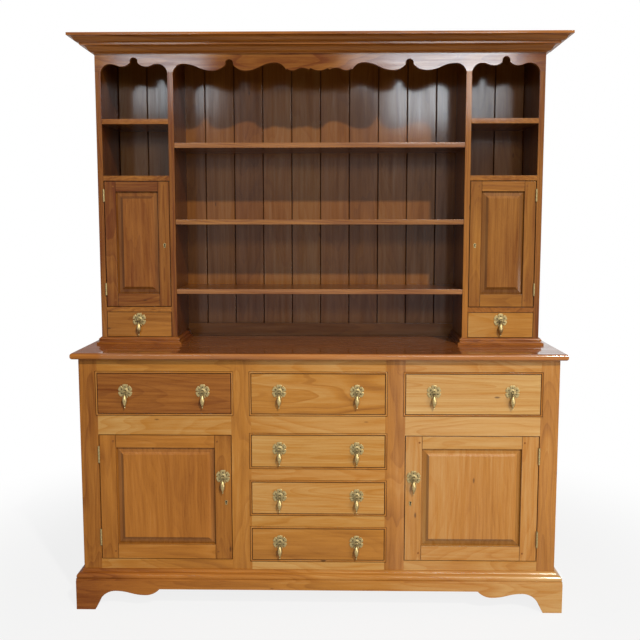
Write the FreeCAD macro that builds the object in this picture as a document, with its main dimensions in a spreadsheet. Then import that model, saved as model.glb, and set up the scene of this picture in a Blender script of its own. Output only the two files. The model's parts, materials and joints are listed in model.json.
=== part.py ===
import FreeCAD, Part
import math
import os
import re

import Sketcher

# Driving sizes in millimetres
SIZES = {
    # base carcass
    "base_width": 1640,
    "worktop_height": 906,
    "worktop_thickness": 22,
    "worktop_depth": 496,
    "worktop_front_lip": 28,
    "worktop_side_lip": 21,
    "worktop_nose_radius": 9,
    "board_thickness": 20,
    "plank_thickness": 12,
    "base_plank_count": 10,
    # front frame of the base
    "frame_thickness": 22,
    "post_width": 62,
    "muntin_width": 68,
    "bottom_rail_height": 95,
    "small_rail_height": 53,
    "cross_rail_height": 73,
    "top_drawer_height": 141,
    "top_rail_height": 50,
    "shelf_thickness": 18,
    "shelf_setback": 40,
    # plinth
    "plinth_height": 104,
    "plinth_thickness": 25,
    "plinth_straight_height": 75,
    "carcass_tuck": 5,
    "foot_width": 66,
    "foot_slope_run": 14,
    "foot_slope_rise": 27,
    "bracket_arch_reach": 138,
    "bracket_arch_height": 68,
    "bracket_dip_reach": 243,
    "bracket_dip_height": 53,
    "bracket_reach": 292,
    "foot_block_size": 35,
    "plinth_moulding_height": 37,
    "plinth_moulding_depth": 24,
    # drawers
    "runner_thickness": 18,
    "runner_reach": 24,
    "guide_height": 30,
    "drawer_gap": 1,
    "runner_clearance": 0.3,
    "drawer_front_thickness": 19,
    "drawer_side_thickness": 11,
    "drawer_side_drop": 9,
    "drawer_bottom_thickness": 6,
    "drawer_bottom_lift": 8,
    "base_drawer_rear_space": 31,
    "rack_drawer_rear_space": 19,
    # plate rack
    "rack_side_inset": 28,
    "rack_depth": 261,
    "plate_bay_width": 1032,
    "rack_plank_count": 14,
    "back_rail_height": 50,
    "back_rail_thickness": 9,
    "lower_plate_bay": 183,
    "middle_plate_bay": 232,
    "upper_plate_bay": 253,
    "top_plate_bay": 244,
    "plate_shelf_setback": 2,
    "foot_moulding_height": 26,
    "foot_moulding_depth": 16,
    "rack_drawer_height": 92,
    "rack_door_height": 452,
    "side_bay_height": 181,
    # frieze and cornice
    "frieze_thickness": 18,
    "frieze_height": 63,
    "frieze_lobe_rise": 29,
    "frieze_crest_rise": 32,
    "frieze_dip_rise": 20,
    "frieze_swag_rise": 5,
    "frieze_wave_rise": 14,
    "frieze_tongue_rise": 13,
    "frieze_bud_rise": 10,
    "frieze_spur_rise": 8,
    "frieze_spur_width": 6,
    "keyhole_radius": 14,
    "keyhole_rise": 44,
    "side_keyhole_rise": 51,
    "keyhole_neck": 4.5,
    "cornice_height": 59,
    "cornice_projection": 76,
    # doors
    "door_thickness": 20,
    "door_gap": 2,
    "base_stile_width": 57,
    "base_door_top_rail": 45,
    "base_door_bottom_rail": 52,
    "rack_stile_width": 40,
    "rack_door_top_rail": 36,
    "rack_door_bottom_rail": 46,
    "groove_width": 6,
    "groove_depth": 9,
    "groove_setback": 9,
    "panel_play": 1,
    "panel_bevel_width": 24,
    "panel_field_setback": 1.5,
    "panel_field_step": 2,
    # hinges
    "hinge_leaf_thickness": 1,
    "hinge_leaf_gap": 0.4,
    "hinge_leaf_width": 16,
    "hinge_barrel_radius": 3.2,
    "hinge_face_gap": 0.4,
    "hinge_pin_radius": 1.3,
    "hinge_pin_fit": 0.08,
    "hinge_knuckle_gap": 0.3,
    "base_hinge_length": 58,
    "base_hinge_top_inset": 70,
    "base_hinge_bottom_inset": 80,
    "rack_hinge_length": 44,
    "rack_hinge_top_inset": 52,
    "rack_hinge_bottom_inset": 64,
    # locks
    "lock_width": 34,
    "lock_height": 52,
    "lock_depth": 10,
    "lock_edge_inset": 6,
    "keyhole_plate_thickness": 1.2,
    "keyhole_plate_radius": 5,
    "keyhole_plate_drop": 11,
    "keyhole_skirt_width": 7,
    "keyhole_slot_radius": 2.6,
    "keyhole_slot_width": 2.6,
    "keyhole_edge_inset": 18.5,
    "base_lock_rise": 209,
    "rack_lock_rise": 225,
    # pulls
    "rose_thickness": 2.2,
    "rose_disc_radius": 14,
    "rose_lobe_radius": 7.5,
    "rose_lobe_circle": 16.2,
    "rose_post_radius": 4.5,
    "pull_pin_out": 12,
    "pull_pin_radius": 1.1,
    "pull_pin_fit": 0.05,
    "pull_ear_thickness": 2,
    "pull_ear_reach": 3.4,
    "pull_eye_width": 3.2,
    "pull_side_play": 0.2,
    "pull_eye_play": 0.6,
    "drop_neck_radius": 1.3,
    "drop_end_radius": 2.2,
    "drop_radius": 8,
    "drop_tip_radius": 2.7,
    "drop_shoulder": 11,
    "drop_belly": 28,
    "drop_foot": 47,
    "drop_length": 57,
    "pull_rise": 8,
    "rack_pull_rise": 17,
    "pull_half_spacing": 133,
    "door_pull_rise": 297,
    "door_pull_inset": 29,
}

doc = FreeCAD.newDocument("open_dresser")
sheet = doc.addObject("Spreadsheet::Sheet", "Sizes")
for row, (alias, size) in enumerate(SIZES.items(), start=1):
    sheet.set(f"A{row}", alias)
    sheet.set(f"B{row}", str(size))
    sheet.setAlias(f"B{row}", alias)
doc.recompute()

NODES = []
SIZE_WORD = re.compile(r"[a-z][a-z_]+")


def formula(text):
    """Point each size named in a formula at its cell of the sheet."""
    return SIZE_WORD.sub(lambda word: f"Sizes.{word[0]}" if word[0] in SIZES else word[0], text)


def value(text):
    """The number that a formula gives."""
    return float(sheet.evalExpression(formula(text)))


# Planes and heights that several pieces share, as formulas of the sizes
FRONT = "(worktop_front_lip - worktop_depth / 2)"
BACK = "(worktop_depth / 2)"
FRAME_BACK = f"({FRONT} + frame_thickness)"
PLANK_FACE = f"({BACK} - plank_thickness)"
HALF_BASE = "(base_width / 2)"
SIDE_INNER = f"({HALF_BASE} - board_thickness)"
OPENING = "((base_width - 2 * post_width - 2 * muntin_width) / 3)"
MUNTIN_INNER = f"({OPENING} / 2)"
MUNTIN_OUTER = f"({MUNTIN_INNER} + muntin_width)"
PARTITION_INNER = f"({MUNTIN_INNER} + muntin_width / 2 - board_thickness / 2)"
PARTITION_OUTER = f"({PARTITION_INNER} + board_thickness)"
POST_INNER = f"({HALF_BASE} - post_width)"

CARCASS_BOTTOM = "(plinth_straight_height + carcass_tuck)"
LOWER_BOTTOM = f"({CARCASS_BOTTOM} + bottom_rail_height)"
FLOOR_UNDER = f"({LOWER_BOTTOM} - board_thickness)"
WORKTOP_UNDER = "(worktop_height - worktop_thickness)"
ROW_TOP = f"({WORKTOP_UNDER} - top_rail_height)"
ROW_BOTTOM = f"({ROW_TOP} - top_drawer_height)"
LOWER_TOP = f"({ROW_BOTTOM} - cross_rail_height)"
SMALL_DRAWER = f"(({LOWER_TOP} - {LOWER_BOTTOM} - 2 * small_rail_height) / 3)"

RACK_FRONT = f"({BACK} - rack_depth)"
HALF_RACK = f"({HALF_BASE} - rack_side_inset)"
RACK_INNER = f"({HALF_RACK} - board_thickness)"
DIVIDER_INNER = "(plate_bay_width / 2)"
DIVIDER_OUTER = f"({DIVIDER_INNER} + board_thickness)"
SHELF_3 = "(worktop_height + lower_plate_bay)"
SHELF_2 = f"({SHELF_3} + shelf_thickness + middle_plate_bay)"
SHELF_1 = f"({SHELF_2} + shelf_thickness + upper_plate_bay)"
FRIEZE_BOTTOM = f"({SHELF_1} + shelf_thickness + top_plate_bay)"
CORNICE_BOTTOM = f"({FRIEZE_BOTTOM} + frieze_height)"
TOP = f"({CORNICE_BOTTOM} + cornice_height)"
TOP_UNDER = f"({TOP} - board_thickness)"
RACK_DRAWER_BOTTOM = "(worktop_height + foot_moulding_height)"
RACK_DRAWER_TOP = f"({RACK_DRAWER_BOTTOM} + rack_drawer_height)"
RACK_DOOR_BOTTOM = f"({RACK_DRAWER_TOP} + shelf_thickness)"
RACK_DOOR_TOP = f"({RACK_DOOR_BOTTOM} + rack_door_height)"
SIDE_SHELF = f"({RACK_DOOR_TOP} + shelf_thickness + side_bay_height)"

HINGE_GAP = "(2 * hinge_leaf_thickness + hinge_leaf_gap)"
HINGE_OUT = "(hinge_barrel_radius + hinge_face_gap)"


def mirrored(span):
    """The same span on the other side of the middle plane."""
    low, high = span
    return (f"-({high})", f"-({low})")


def bind(thing, **formulas):
    """Tie properties to formulas; two underscores in a name stand for a dot."""
    for name, text in formulas.items():
        thing.setExpression(name.replace("__", "."), formula(text))


def move(thing, x="0", y="0", z="0"):
    """Tie the place of an object to formulas."""
    bind(thing, Placement__Base__x=x, Placement__Base__y=y, Placement__Base__z=z)


def board(x, y, z, name="board"):
    """A square-edged board between two formulas along each axis."""
    box = doc.addObject("Part::Box", name)
    move(box, x[0], y[0], z[0])
    lengths = [f"({high}) - ({low})" for low, high in (x, y, z)]
    bind(box, Length=lengths[0], Width=lengths[1], Height=lengths[2])
    return box


AXIS_TURNS = {
    "x": FreeCAD.Rotation(FreeCAD.Vector(0, 1, 0), 90),
    "y": FreeCAD.Rotation(FreeCAD.Vector(1, 0, 0), -90),
    "z": FreeCAD.Rotation(),
}


def rod(axis, start, radius, length, name="rod"):
    """A round bar from its start point along an axis."""
    cylinder = doc.addObject("Part::Cylinder", name)
    cylinder.Placement = FreeCAD.Placement(FreeCAD.Vector(), AXIS_TURNS[axis])
    move(cylinder, *start)
    bind(cylinder, Radius=radius, Height=length)
    return cylinder


def fuse(pieces, name="fused"):
    """One solid from pieces that are a single lump of material."""
    solid = doc.addObject("Part::MultiFuse", name)
    solid.Shapes = pieces
    return solid


def cut(base, tool, name="cut"):
    """A solid with another taken out of it."""
    solid = doc.addObject("Part::Cut", name)
    solid.Base = base
    solid.Tool = tool
    return solid


def placed(template, x, y, z, turned=False):
    """A copy of a fitting at a place, turned half round for the other hand."""
    copy = doc.addObject("App::Link", f"{template.Name}_copy")
    copy.LinkedObject = template
    if turned:
        copy.Placement = FreeCAD.Placement(FreeCAD.Vector(), FreeCAD.Rotation(FreeCAD.Vector(0, 1, 0), 180))
    move(copy, x, y, z)
    return copy


def node(label, pieces):
    """One sub-part: its solids stay separate and share a file."""
    part = doc.addObject("Part::Compound", label)
    part.Label = label
    part.Links = pieces
    NODES.append(part)


def shaped(name, shape):
    """A document object for a moulding or sawn outline."""
    feature = doc.addObject("Part::Feature", name)
    feature.Shape = shape
    return feature


# Outlines of lines and arcs

def arc_from_level(start, end):
    """An arc that leaves its start level and ends at the given point."""
    run = end[0] - start[0]
    rise = end[1] - start[1]
    radius = (run * run + rise * rise) / (2 * abs(rise))
    turn = math.atan2(abs(run), radius - abs(rise))
    side = math.copysign(1, run)
    middle_run = side * radius * math.sin(turn / 2)
    middle_rise = math.copysign(radius * (1 - math.cos(turn / 2)), rise)
    return (start[0] + middle_run, start[1] + middle_rise)


def curve(start, through, end, place):
    """An arc through three outline points."""
    return Part.Arc(place(start), place(through), place(end)).toShape()


def straight(start, end, place):
    """A line between two outline points."""
    return Part.LineSegment(place(start), place(end)).toShape()


def level_arc(start, end, place):
    """An arc that is level at its start."""
    return curve(start, arc_from_level(start, end), end, place)


def upright_arc(start, end, place):
    """An arc that is upright at its start."""
    through = arc_from_level(start[::-1], end[::-1])
    return curve(start, through[::-1], end, place)


def ogee(start, end, place):
    """Two arcs, level at both ends, that meet half way."""
    middle = ((start[0] + end[0]) / 2, (start[1] + end[1]) / 2)
    return [level_arc(start, middle, place), level_arc(end, middle, place)]


def solid_from(edges, depth):
    """Saw a closed outline out of a board of the given depth."""
    wire = Part.Wire(Part.__sortEdges__(edges))
    return Part.Face(wire).extrude(depth)


def mirror_edges(edges, centre=0.0):
    """Edges of an outline and their mirror image about an upright line."""
    base = FreeCAD.Vector(centre, 0, 0)
    normal = FreeCAD.Vector(1, 0, 0)
    return edges + [edge.mirror(base, normal) for edge in edges]


def moulding_run(profile, start, end, outward, bottom, projection, mitres):
    """A straight length of moulding on a face, mitred or square at each end.

    profile takes the place function and gives the closed section's edges in
    (projection, height); start and end are points of the face line in plan.
    """
    along = (end - start).normalize()
    first = start - along * projection
    section = profile(lambda point: first + outward * point[0] + FreeCAD.Vector(0, 0, bottom + point[1]))
    length = along * (start.distanceToPoint(end) + 2 * projection)
    bar = solid_from(section, length)
    start_slant = along * (projection if mitres[0] else 0)
    end_slant = along * (projection if mitres[1] else 0)
    plan = [start, end, end + outward * projection + end_slant, start + outward * projection - start_slant]
    box = bar.BoundBox
    floor = [FreeCAD.Vector(point.x, point.y, box.ZMin) for point in plan]
    prism = Part.Face(Part.makePolygon(floor + floor[:1])).extrude(FreeCAD.Vector(0, 0, box.ZLength))
    return bar.common(prism).Solids[0]


# Base carcass

def make_base_carcass():
    height = (CARCASS_BOTTOM, WORKTOP_UNDER)
    inside = (FRAME_BACK, PLANK_FACE)
    side = (SIDE_INNER, HALF_BASE)
    node("base_sides", [board(x, (FRAME_BACK, BACK), height) for x in (side, mirrored(side))])

    partition = (PARTITION_INNER, PARTITION_OUTER)
    partition_height = (LOWER_BOTTOM, WORKTOP_UNDER)
    node("base_partitions", [board(x, inside, partition_height) for x in (partition, mirrored(partition))])

    across = (f"-{SIDE_INNER}", SIDE_INNER)
    node("base_floor", [board(across, inside, (FLOOR_UNDER, LOWER_BOTTOM))])

    count = round(value("base_plank_count"))
    pitch = f"(2 * {SIDE_INNER} / base_plank_count)"
    planks = []
    for index in range(count):
        x = (f"-{SIDE_INNER} + {index} * {pitch}", f"-{SIDE_INNER} + {index + 1} * {pitch}")
        planks.append(board(x, (PLANK_FACE, BACK), height))
    node("base_back_boards", planks)

    shelf_middle = f"(({LOWER_TOP} + {LOWER_BOTTOM}) / 2)"
    shelf_height = (f"{shelf_middle} - shelf_thickness / 2", f"{shelf_middle} + shelf_thickness / 2")
    shelf = (PARTITION_OUTER, SIDE_INNER)
    shelf_depth = (f"{FRAME_BACK} + shelf_setback", PLANK_FACE)
    node("cupboard_shelves", [board(x, shelf_depth, shelf_height) for x in (shelf, mirrored(shelf))])


def make_front_frame():
    depth = (FRONT, FRAME_BACK)
    height = (CARCASS_BOTTOM, WORKTOP_UNDER)
    post = (POST_INNER, HALF_BASE)
    muntin = (MUNTIN_INNER, MUNTIN_OUTER)
    uprights = (post, mirrored(post), muntin, mirrored(muntin))
    node("base_posts", [board(x, depth, height) for x in uprights])

    centre = (f"-{MUNTIN_INNER}", MUNTIN_INNER)
    right = (MUNTIN_OUTER, POST_INNER)
    levels = (
        (ROW_TOP, WORKTOP_UNDER),
        (LOWER_TOP, ROW_BOTTOM),
        (CARCASS_BOTTOM, LOWER_BOTTOM),
    )
    rails = [board(x, depth, z) for z in levels for x in (mirrored(right), centre, right)]
    for step in (1, 2):
        top = f"({LOWER_TOP} - {step} * {SMALL_DRAWER} - {step - 1} * small_rail_height)"
        rails.append(board(centre, depth, (f"{top} - small_rail_height", top)))
    node("base_rails", rails)


# Each base drawer: its name, its bay and its opening in height
def small_opening(step):
    top = f"({LOWER_TOP} - {step} * ({SMALL_DRAWER} + small_rail_height))"
    return (f"({top} - {SMALL_DRAWER})", top)


LEFT_BAY = (f"-{POST_INNER}", f"-{MUNTIN_OUTER}")
CENTRE_BAY = (f"-{MUNTIN_INNER}", MUNTIN_INNER)
RIGHT_BAY = (MUNTIN_OUTER, POST_INNER)
TOP_ROW = (ROW_BOTTOM, ROW_TOP)
BASE_DRAWERS = {
    "top_left": (LEFT_BAY, TOP_ROW),
    "top_centre": (CENTRE_BAY, TOP_ROW),
    "top_right": (RIGHT_BAY, TOP_ROW),
    "upper_centre": (CENTRE_BAY, small_opening(0)),
    "middle_centre": (CENTRE_BAY, small_opening(1)),
    "lower_centre": (CENTRE_BAY, small_opening(2)),
}
# The boards that carry the runners on the left and right of each bay
BAY_WALLS = {
    LEFT_BAY: (f"-{SIDE_INNER}", f"-{PARTITION_OUTER}"),
    CENTRE_BAY: (f"-{PARTITION_INNER}", PARTITION_INNER),
    RIGHT_BAY: (PARTITION_OUTER, SIDE_INNER),
}


def make_runners():
    depth = (FRAME_BACK, PLANK_FACE)
    strips = []
    for name, (bay, opening) in BASE_DRAWERS.items():
        left_wall, right_wall = BAY_WALLS[bay]
        rest = opening[0]
        guide_height = (rest, f"{rest} + guide_height")
        strips.append(board((left_wall, bay[0]), depth, guide_height))
        strips.append(board((bay[1], right_wall), depth, guide_height))
        if name != "lower_centre":
            runner_height = (f"{rest} - runner_thickness", rest)
            strips.append(board((left_wall, f"{bay[0]} + runner_reach"), depth, runner_height))
            strips.append(board((f"{bay[1]} - runner_reach", right_wall), depth, runner_height))
    node("drawer_runners", strips)


def make_worktop():
    body = doc.addObject("PartDesign::Body", "worktop_body")
    sketch = body.newObject("Sketcher::SketchObject", "worktop_outline")
    plane = [item for item in body.Origin.OriginFeatures if item.Role == "XY_Plane"][0]
    sketch.AttachmentSupport = [(plane, "")]
    sketch.MapMode = "FlatFace"
    half_width = value(HALF_BASE)
    half_depth = value(BACK)
    corners = [(-half_width, -half_depth), (half_width, -half_depth),
               (half_width, half_depth), (-half_width, half_depth)]
    points = [FreeCAD.Vector(x, y, 0) for x, y in corners]
    for index in range(4):
        sketch.addGeometry(Part.LineSegment(points[index], points[(index + 1) % 4]))
    for index in range(4):
        sketch.addConstraint(Sketcher.Constraint("Coincident", index, 2, (index + 1) % 4, 1))
        sketch.addConstraint(Sketcher.Constraint(("Horizontal", "Vertical")[index % 2], index))
    sketch.addConstraint(Sketcher.Constraint("Symmetric", 0, 1, 2, 1, -1, 1))
    for index, (length, name) in enumerate(((2 * half_width, "width"), (2 * half_depth, "depth"))):
        constraint = sketch.addConstraint(Sketcher.Constraint("Distance", index, length))
        sketch.renameConstraint(constraint, name)
    bind(sketch, Constraints__width="base_width + 2 * worktop_side_lip", Constraints__depth="worktop_depth")
    pad = body.newObject("PartDesign::Pad", "worktop_board")
    pad.Profile = sketch
    bind(pad, Length="worktop_thickness")
    doc.recompute()
    back = value(BACK)
    hair = 1e-6
    edges = []
    for index, edge in enumerate(pad.Shape.Edges, start=1):
        middle = edge.CenterOfMass
        level = edge.BoundBox.ZLength < hair
        if level and middle.y < back - hair:
            edges.append(f"Edge{index}")
    nosing = body.newObject("PartDesign::Fillet", "worktop_nosing")
    nosing.Base = (pad, edges)
    bind(nosing, Radius="worktop_nose_radius")
    move(body, z=WORKTOP_UNDER)
    node("worktop", [body])


# Plinth with bracket feet

def bracket_edges(corner, place):
    """The sawn lower edge of a front bracket, from the foot to the straight stretch."""
    foot = (corner - value("foot_width"), 0.0)
    slope = (foot[0] - value("foot_slope_run"), value("foot_slope_rise"))
    arch = (corner - value("bracket_arch_reach"), value("bracket_arch_height"))
    dip = (corner - value("bracket_dip_reach"), value("bracket_dip_height"))
    end = (corner - value("bracket_reach"), value("plinth_straight_height"))
    edges = [straight(foot, slope, place), level_arc(arch, slope, place)]
    edges += ogee(arch, dip, place)
    edges.append(level_arc(dip, end, place))
    return edges


def make_plinth():
    bottom = value("plinth_straight_height")
    top = value("plinth_height")
    thick = value("plinth_thickness")
    half = value(HALF_BASE) + thick
    front = value(FRONT)
    back = value(BACK)

    def on_front(point):
        return FreeCAD.Vector(point[0], front - thick, point[1])

    def on_side(point):
        return FreeCAD.Vector(value(HALF_BASE), point[0], point[1])

    right = bracket_edges(half, on_front)
    right.append(straight((half, 0), (half - value("foot_width"), 0), on_front))
    right.append(straight((half, 0), (half, top), on_front))
    edges = mirror_edges(right)
    reach = half - value("bracket_reach")
    edges.append(straight((-reach, bottom), (reach, bottom), on_front))
    edges.append(straight((-half, top), (half, top), on_front))
    pieces = [shaped("plinth_front", solid_from(edges, FreeCAD.Vector(0, thick, 0)))]

    foot = value("foot_width")
    arch_run = value("foot_slope_run") + value("foot_slope_rise")
    edges = [straight((front, top), (back, top), on_side)]
    ends = ((front, 1), (back, -1))
    for end, inward in ends:
        toe = (end + inward * foot, 0)
        slope = (toe[0] + inward * value("foot_slope_run"), value("foot_slope_rise"))
        arch = (slope[0] + inward * arch_run, bottom)
        edges.append(straight((end, top), (end, 0), on_side))
        edges.append(straight((end, 0), toe, on_side))
        edges.append(straight(toe, slope, on_side))
        edges.append(level_arc(arch, slope, on_side))
    inset = foot + value("foot_slope_run") + arch_run
    edges.append(straight((front + inset, bottom), (back - inset, bottom), on_side))
    side = solid_from(edges, FreeCAD.Vector(thick, 0, 0))
    other = side.mirror(FreeCAD.Vector(), FreeCAD.Vector(1, 0, 0))
    pieces += [shaped("plinth_right", side), shaped("plinth_left", other)]

    block_x = (f"{HALF_BASE} - foot_block_size", HALF_BASE)
    block_height = ("0", CARCASS_BOTTOM)
    for y in ((FRONT, f"{FRONT} + foot_block_size"), (f"{BACK} - foot_block_size", BACK)):
        for x in (block_x, mirrored(block_x)):
            pieces.append(board(x, y, block_height))
    node("plinth", pieces)


def wrap_round(name, profile, half_width, front, back, bottom, projection):
    """Three lengths of moulding, on the front and both sides, mitred at the front corners."""
    left_front = FreeCAD.Vector(-half_width, front, 0)
    right_front = FreeCAD.Vector(half_width, front, 0)
    right_back = FreeCAD.Vector(half_width, back[1], 0)
    left_back = FreeCAD.Vector(-half_width, back[0], 0)
    forward = FreeCAD.Vector(0, -1, 0)
    outward = FreeCAD.Vector(1, 0, 0)
    runs = (
        (left_front, right_front, forward, (True, True)),
        (right_front, right_back, outward, (True, False)),
        (left_back, left_front, -outward, (False, True)),
    )
    return [
        shaped(name, moulding_run(profile, start, end, away, bottom, projection, mitres))
        for start, end, away, mitres in runs
    ]


# Points of the moulding sections, as shares of each moulding's depth and height
PLINTH_SECTION = {
    "fillet": (1.0, 0.2),
    "shoulder": (0.846, 0.2),
    "cove": (0.45, 0.72),
    "lip": (0.2, 0.86),
    "top": (0.2, 1.0),
}
CORNICE_SECTION = {
    "sill": (0.04, 0.0),
    "ogee_foot": (0.04, 0.05),
    "ogee_top": (0.46, 0.41),
    "fillet_low": (0.54, 0.41),
    "fillet_top": (0.54, 0.53),
    "cyma_low": (0.56, 0.53),
    "cyma_top": (0.96, 0.85),
    "lip": (1.0, 0.85),
}
FOOT_SECTION = {
    "fillet": (1.0, 0.3),
    "step": (0.85, 0.3),
    "neck": (0.25, 0.9),
    "top": (0.25, 1.0),
}


def section_points(section, depth, height):
    """The points of a moulding's section at its real size, by name."""
    return {name: (depth * out, height * rise) for name, (out, rise) in section.items()}


def make_plinth_moulding():
    depth = value("plinth_moulding_depth")
    height = value("plinth_moulding_height")
    points = section_points(PLINTH_SECTION, depth, height)

    def profile(place):
        return [
            straight((0, 0), (depth, 0), place),
            straight((depth, 0), points["fillet"], place),
            straight(points["fillet"], points["shoulder"], place),
            level_arc(points["cove"], points["shoulder"], place),
            level_arc(points["cove"], points["lip"], place),
            straight(points["lip"], points["top"], place),
            straight(points["top"], (0, height), place),
            straight((0, height), (0, 0), place),
        ]

    back = value(BACK)
    pieces = wrap_round("plinth_moulding_length", profile, value(HALF_BASE), value(FRONT),
                        (back, back), value("plinth_height"), depth)
    node("plinth_moulding", pieces)


# Plate rack

def make_rack_carcass():
    depth = (RACK_FRONT, BACK)
    shelf_depth = (RACK_FRONT, PLANK_FACE)
    height = ("worktop_height", TOP_UNDER)
    outer = (RACK_INNER, HALF_RACK)
    divider = (DIVIDER_INNER, DIVIDER_OUTER)
    notch_depth = (RACK_FRONT, f"{RACK_FRONT} + frieze_thickness")
    notch_height = (FRIEZE_BOTTOM, TOP_UNDER)
    uprights = []
    for x, y in ((outer, depth), (divider, shelf_depth)):
        for side in (x, mirrored(x)):
            notch = board(side, notch_depth, notch_height, "notch")
            uprights.append(cut(board(side, y, height), notch, "upright"))
    node("rack_uprights", uprights)

    node("rack_top_board", [board((f"-{HALF_RACK}", HALF_RACK), depth, (TOP_UNDER, TOP))])

    count = round(value("rack_plank_count"))
    pitch = f"(2 * {RACK_INNER} / rack_plank_count)"
    planks = []
    for index in range(count):
        x = (f"-{RACK_INNER} + {index} * {pitch}", f"-{RACK_INNER} + {index + 1} * {pitch}")
        planks.append(board(x, (PLANK_FACE, BACK), height))
    rail_height = ("worktop_height", "worktop_height + back_rail_height")
    across = (f"-{DIVIDER_INNER}", DIVIDER_INNER)
    planks.append(board(across, (f"{PLANK_FACE} - back_rail_thickness", PLANK_FACE), rail_height))
    node("rack_back_boards", planks)

    plate_depth = (f"{RACK_FRONT} + plate_shelf_setback", PLANK_FACE)
    levels = [(z, f"{z} + shelf_thickness") for z in (SHELF_1, SHELF_2, SHELF_3)]
    node("plate_shelves", [board(across, plate_depth, z) for z in levels])

    bay = (DIVIDER_OUTER, RACK_INNER)
    levels = (
        (f"{RACK_DRAWER_BOTTOM} - board_thickness", RACK_DRAWER_BOTTOM),
        (RACK_DRAWER_TOP, RACK_DOOR_BOTTOM),
        (RACK_DOOR_TOP, f"{RACK_DOOR_TOP} + shelf_thickness"),
        (SIDE_SHELF, f"{SIDE_SHELF} + shelf_thickness"),
    )
    node("side_bay_boards", [board(x, shelf_depth, z) for x in (bay, mirrored(bay)) for z in levels])


# Where the scallops of the frieze lie, as shares of half a bay from its middle
SIDE_LOBE = 0.71
SIDE_DIP = 0.36
CENTRE_LOBE = 0.93
CENTRE_FIRST_DIP = 0.73
CENTRE_KEYHOLE = 0.614
CENTRE_SECOND_DIP = 0.506
CENTRE_CREST = 0.302
CENTRE_BUD_END = 0.215
CENTRE_BUD = 0.184
CENTRE_WAVE = 0.118
CENTRE_TONGUE_END = 0.058


def keyhole_edges(centre, top, place):
    """The round notch of a keyhole and the two points where its curves begin."""
    radius = value("keyhole_radius")
    middle = top - radius
    neck = value("keyhole_neck")
    half = math.sqrt(radius * radius - neck * neck)
    left = (centre - half, middle - neck)
    right = (centre + half, middle - neck)
    return curve(left, (centre, middle + radius), right, place), left, right


def make_frieze():
    front = value(RACK_FRONT)
    bottom = value(FRIEZE_BOTTOM)
    top = value(TOP_UNDER)
    outer = value(HALF_RACK)
    lobe_height = bottom + value("frieze_lobe_rise")
    dip_height = bottom + value("frieze_dip_rise")
    swag_height = bottom + value("frieze_swag_rise")
    wave_height = bottom + value("frieze_wave_rise")
    spur_height = bottom + value("frieze_spur_rise")
    spur_width = value("frieze_spur_width")

    def place(point):
        return FreeCAD.Vector(point[0], front, point[1])

    # end bay on the right, mirrored about its own middle
    inner_edge = value(DIVIDER_OUTER)
    outer_edge = value(RACK_INNER)
    middle = (inner_edge + outer_edge) / 2
    half = (outer_edge - inner_edge) / 2
    keyhole, _, neck = keyhole_edges(middle, bottom + value("side_keyhole_rise"), place)
    lobe = (middle + SIDE_LOBE * half, lobe_height)
    dip = (middle + SIDE_DIP * half, dip_height)
    bay = [level_arc(lobe, (outer_edge, bottom), place), level_arc(dip, neck, place)]
    bay += ogee(lobe, dip, place)
    right = mirror_edges(bay, middle) + [keyhole]

    # right half of the middle bay
    half = value(DIVIDER_INNER)
    keyhole_top = bottom + value("keyhole_rise")
    keyhole, near_neck, far_neck = keyhole_edges(CENTRE_KEYHOLE * half, keyhole_top, place)
    lobe = (CENTRE_LOBE * half, lobe_height)
    far_dip = (CENTRE_FIRST_DIP * half, swag_height)
    near_dip = (CENTRE_SECOND_DIP * half, swag_height)
    crest = (CENTRE_CREST * half, bottom + value("frieze_crest_rise"))
    bud = (CENTRE_BUD * half, swag_height)
    bud_end = (CENTRE_BUD_END * half, bottom + value("frieze_bud_rise"))
    far_spur = (bud_end[0] + spur_width, spur_height)
    wave = (CENTRE_WAVE * half, wave_height)
    tongue_end = (CENTRE_TONGUE_END * half, bottom + value("frieze_tongue_rise"))
    near_spur = (tongue_end[0] + spur_width, spur_height)
    right.append(level_arc(lobe, (half, bottom), place))
    right += ogee(lobe, far_dip, place)
    right += [level_arc(far_dip, far_neck, place), keyhole, level_arc(near_dip, near_neck, place)]
    right += ogee(near_dip, crest, place)
    right += [level_arc(crest, far_spur, place), straight(bud_end, far_spur, place)]
    right.append(level_arc(bud, bud_end, place))
    right += ogee(bud, wave, place)
    right += [level_arc(wave, near_spur, place), straight(tongue_end, near_spur, place)]
    right.append(level_arc((0.0, swag_height), tongue_end, place))

    # flat stretches over the uprights, the end and the top
    right.append(straight((half, bottom), (inner_edge, bottom), place))
    right.append(straight((outer_edge, bottom), (outer, bottom), place))
    right.append(straight((outer, bottom), (outer, top), place))
    edges = mirror_edges(right) + [straight((-outer, top), (outer, top), place)]
    depth = FreeCAD.Vector(0, value("frieze_thickness"), 0)
    node("frieze", [shaped("frieze_board", solid_from(edges, depth))])


def make_cornice():
    depth = value("cornice_projection")
    height = value("cornice_height")
    points = section_points(CORNICE_SECTION, depth, height)

    def profile(place):
        edges = [
            straight((0, 0), points["sill"], place),
            straight(points["sill"], points["ogee_foot"], place),
            straight(points["ogee_top"], points["fillet_low"], place),
            straight(points["fillet_low"], points["fillet_top"], place),
            straight(points["fillet_top"], points["cyma_low"], place),
            straight(points["cyma_top"], points["lip"], place),
            straight(points["lip"], (depth, height), place),
            straight((depth, height), (0, height), place),
            straight((0, height), (0, 0), place),
        ]
        edges += ogee(points["ogee_foot"], points["ogee_top"], place)
        return edges + ogee(points["cyma_low"], points["cyma_top"], place)

    back = value(BACK)
    pieces = wrap_round("cornice_length", profile, value(HALF_RACK), value(RACK_FRONT),
                        (back, back), value(CORNICE_BOTTOM), depth)
    node("cornice", pieces)


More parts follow.
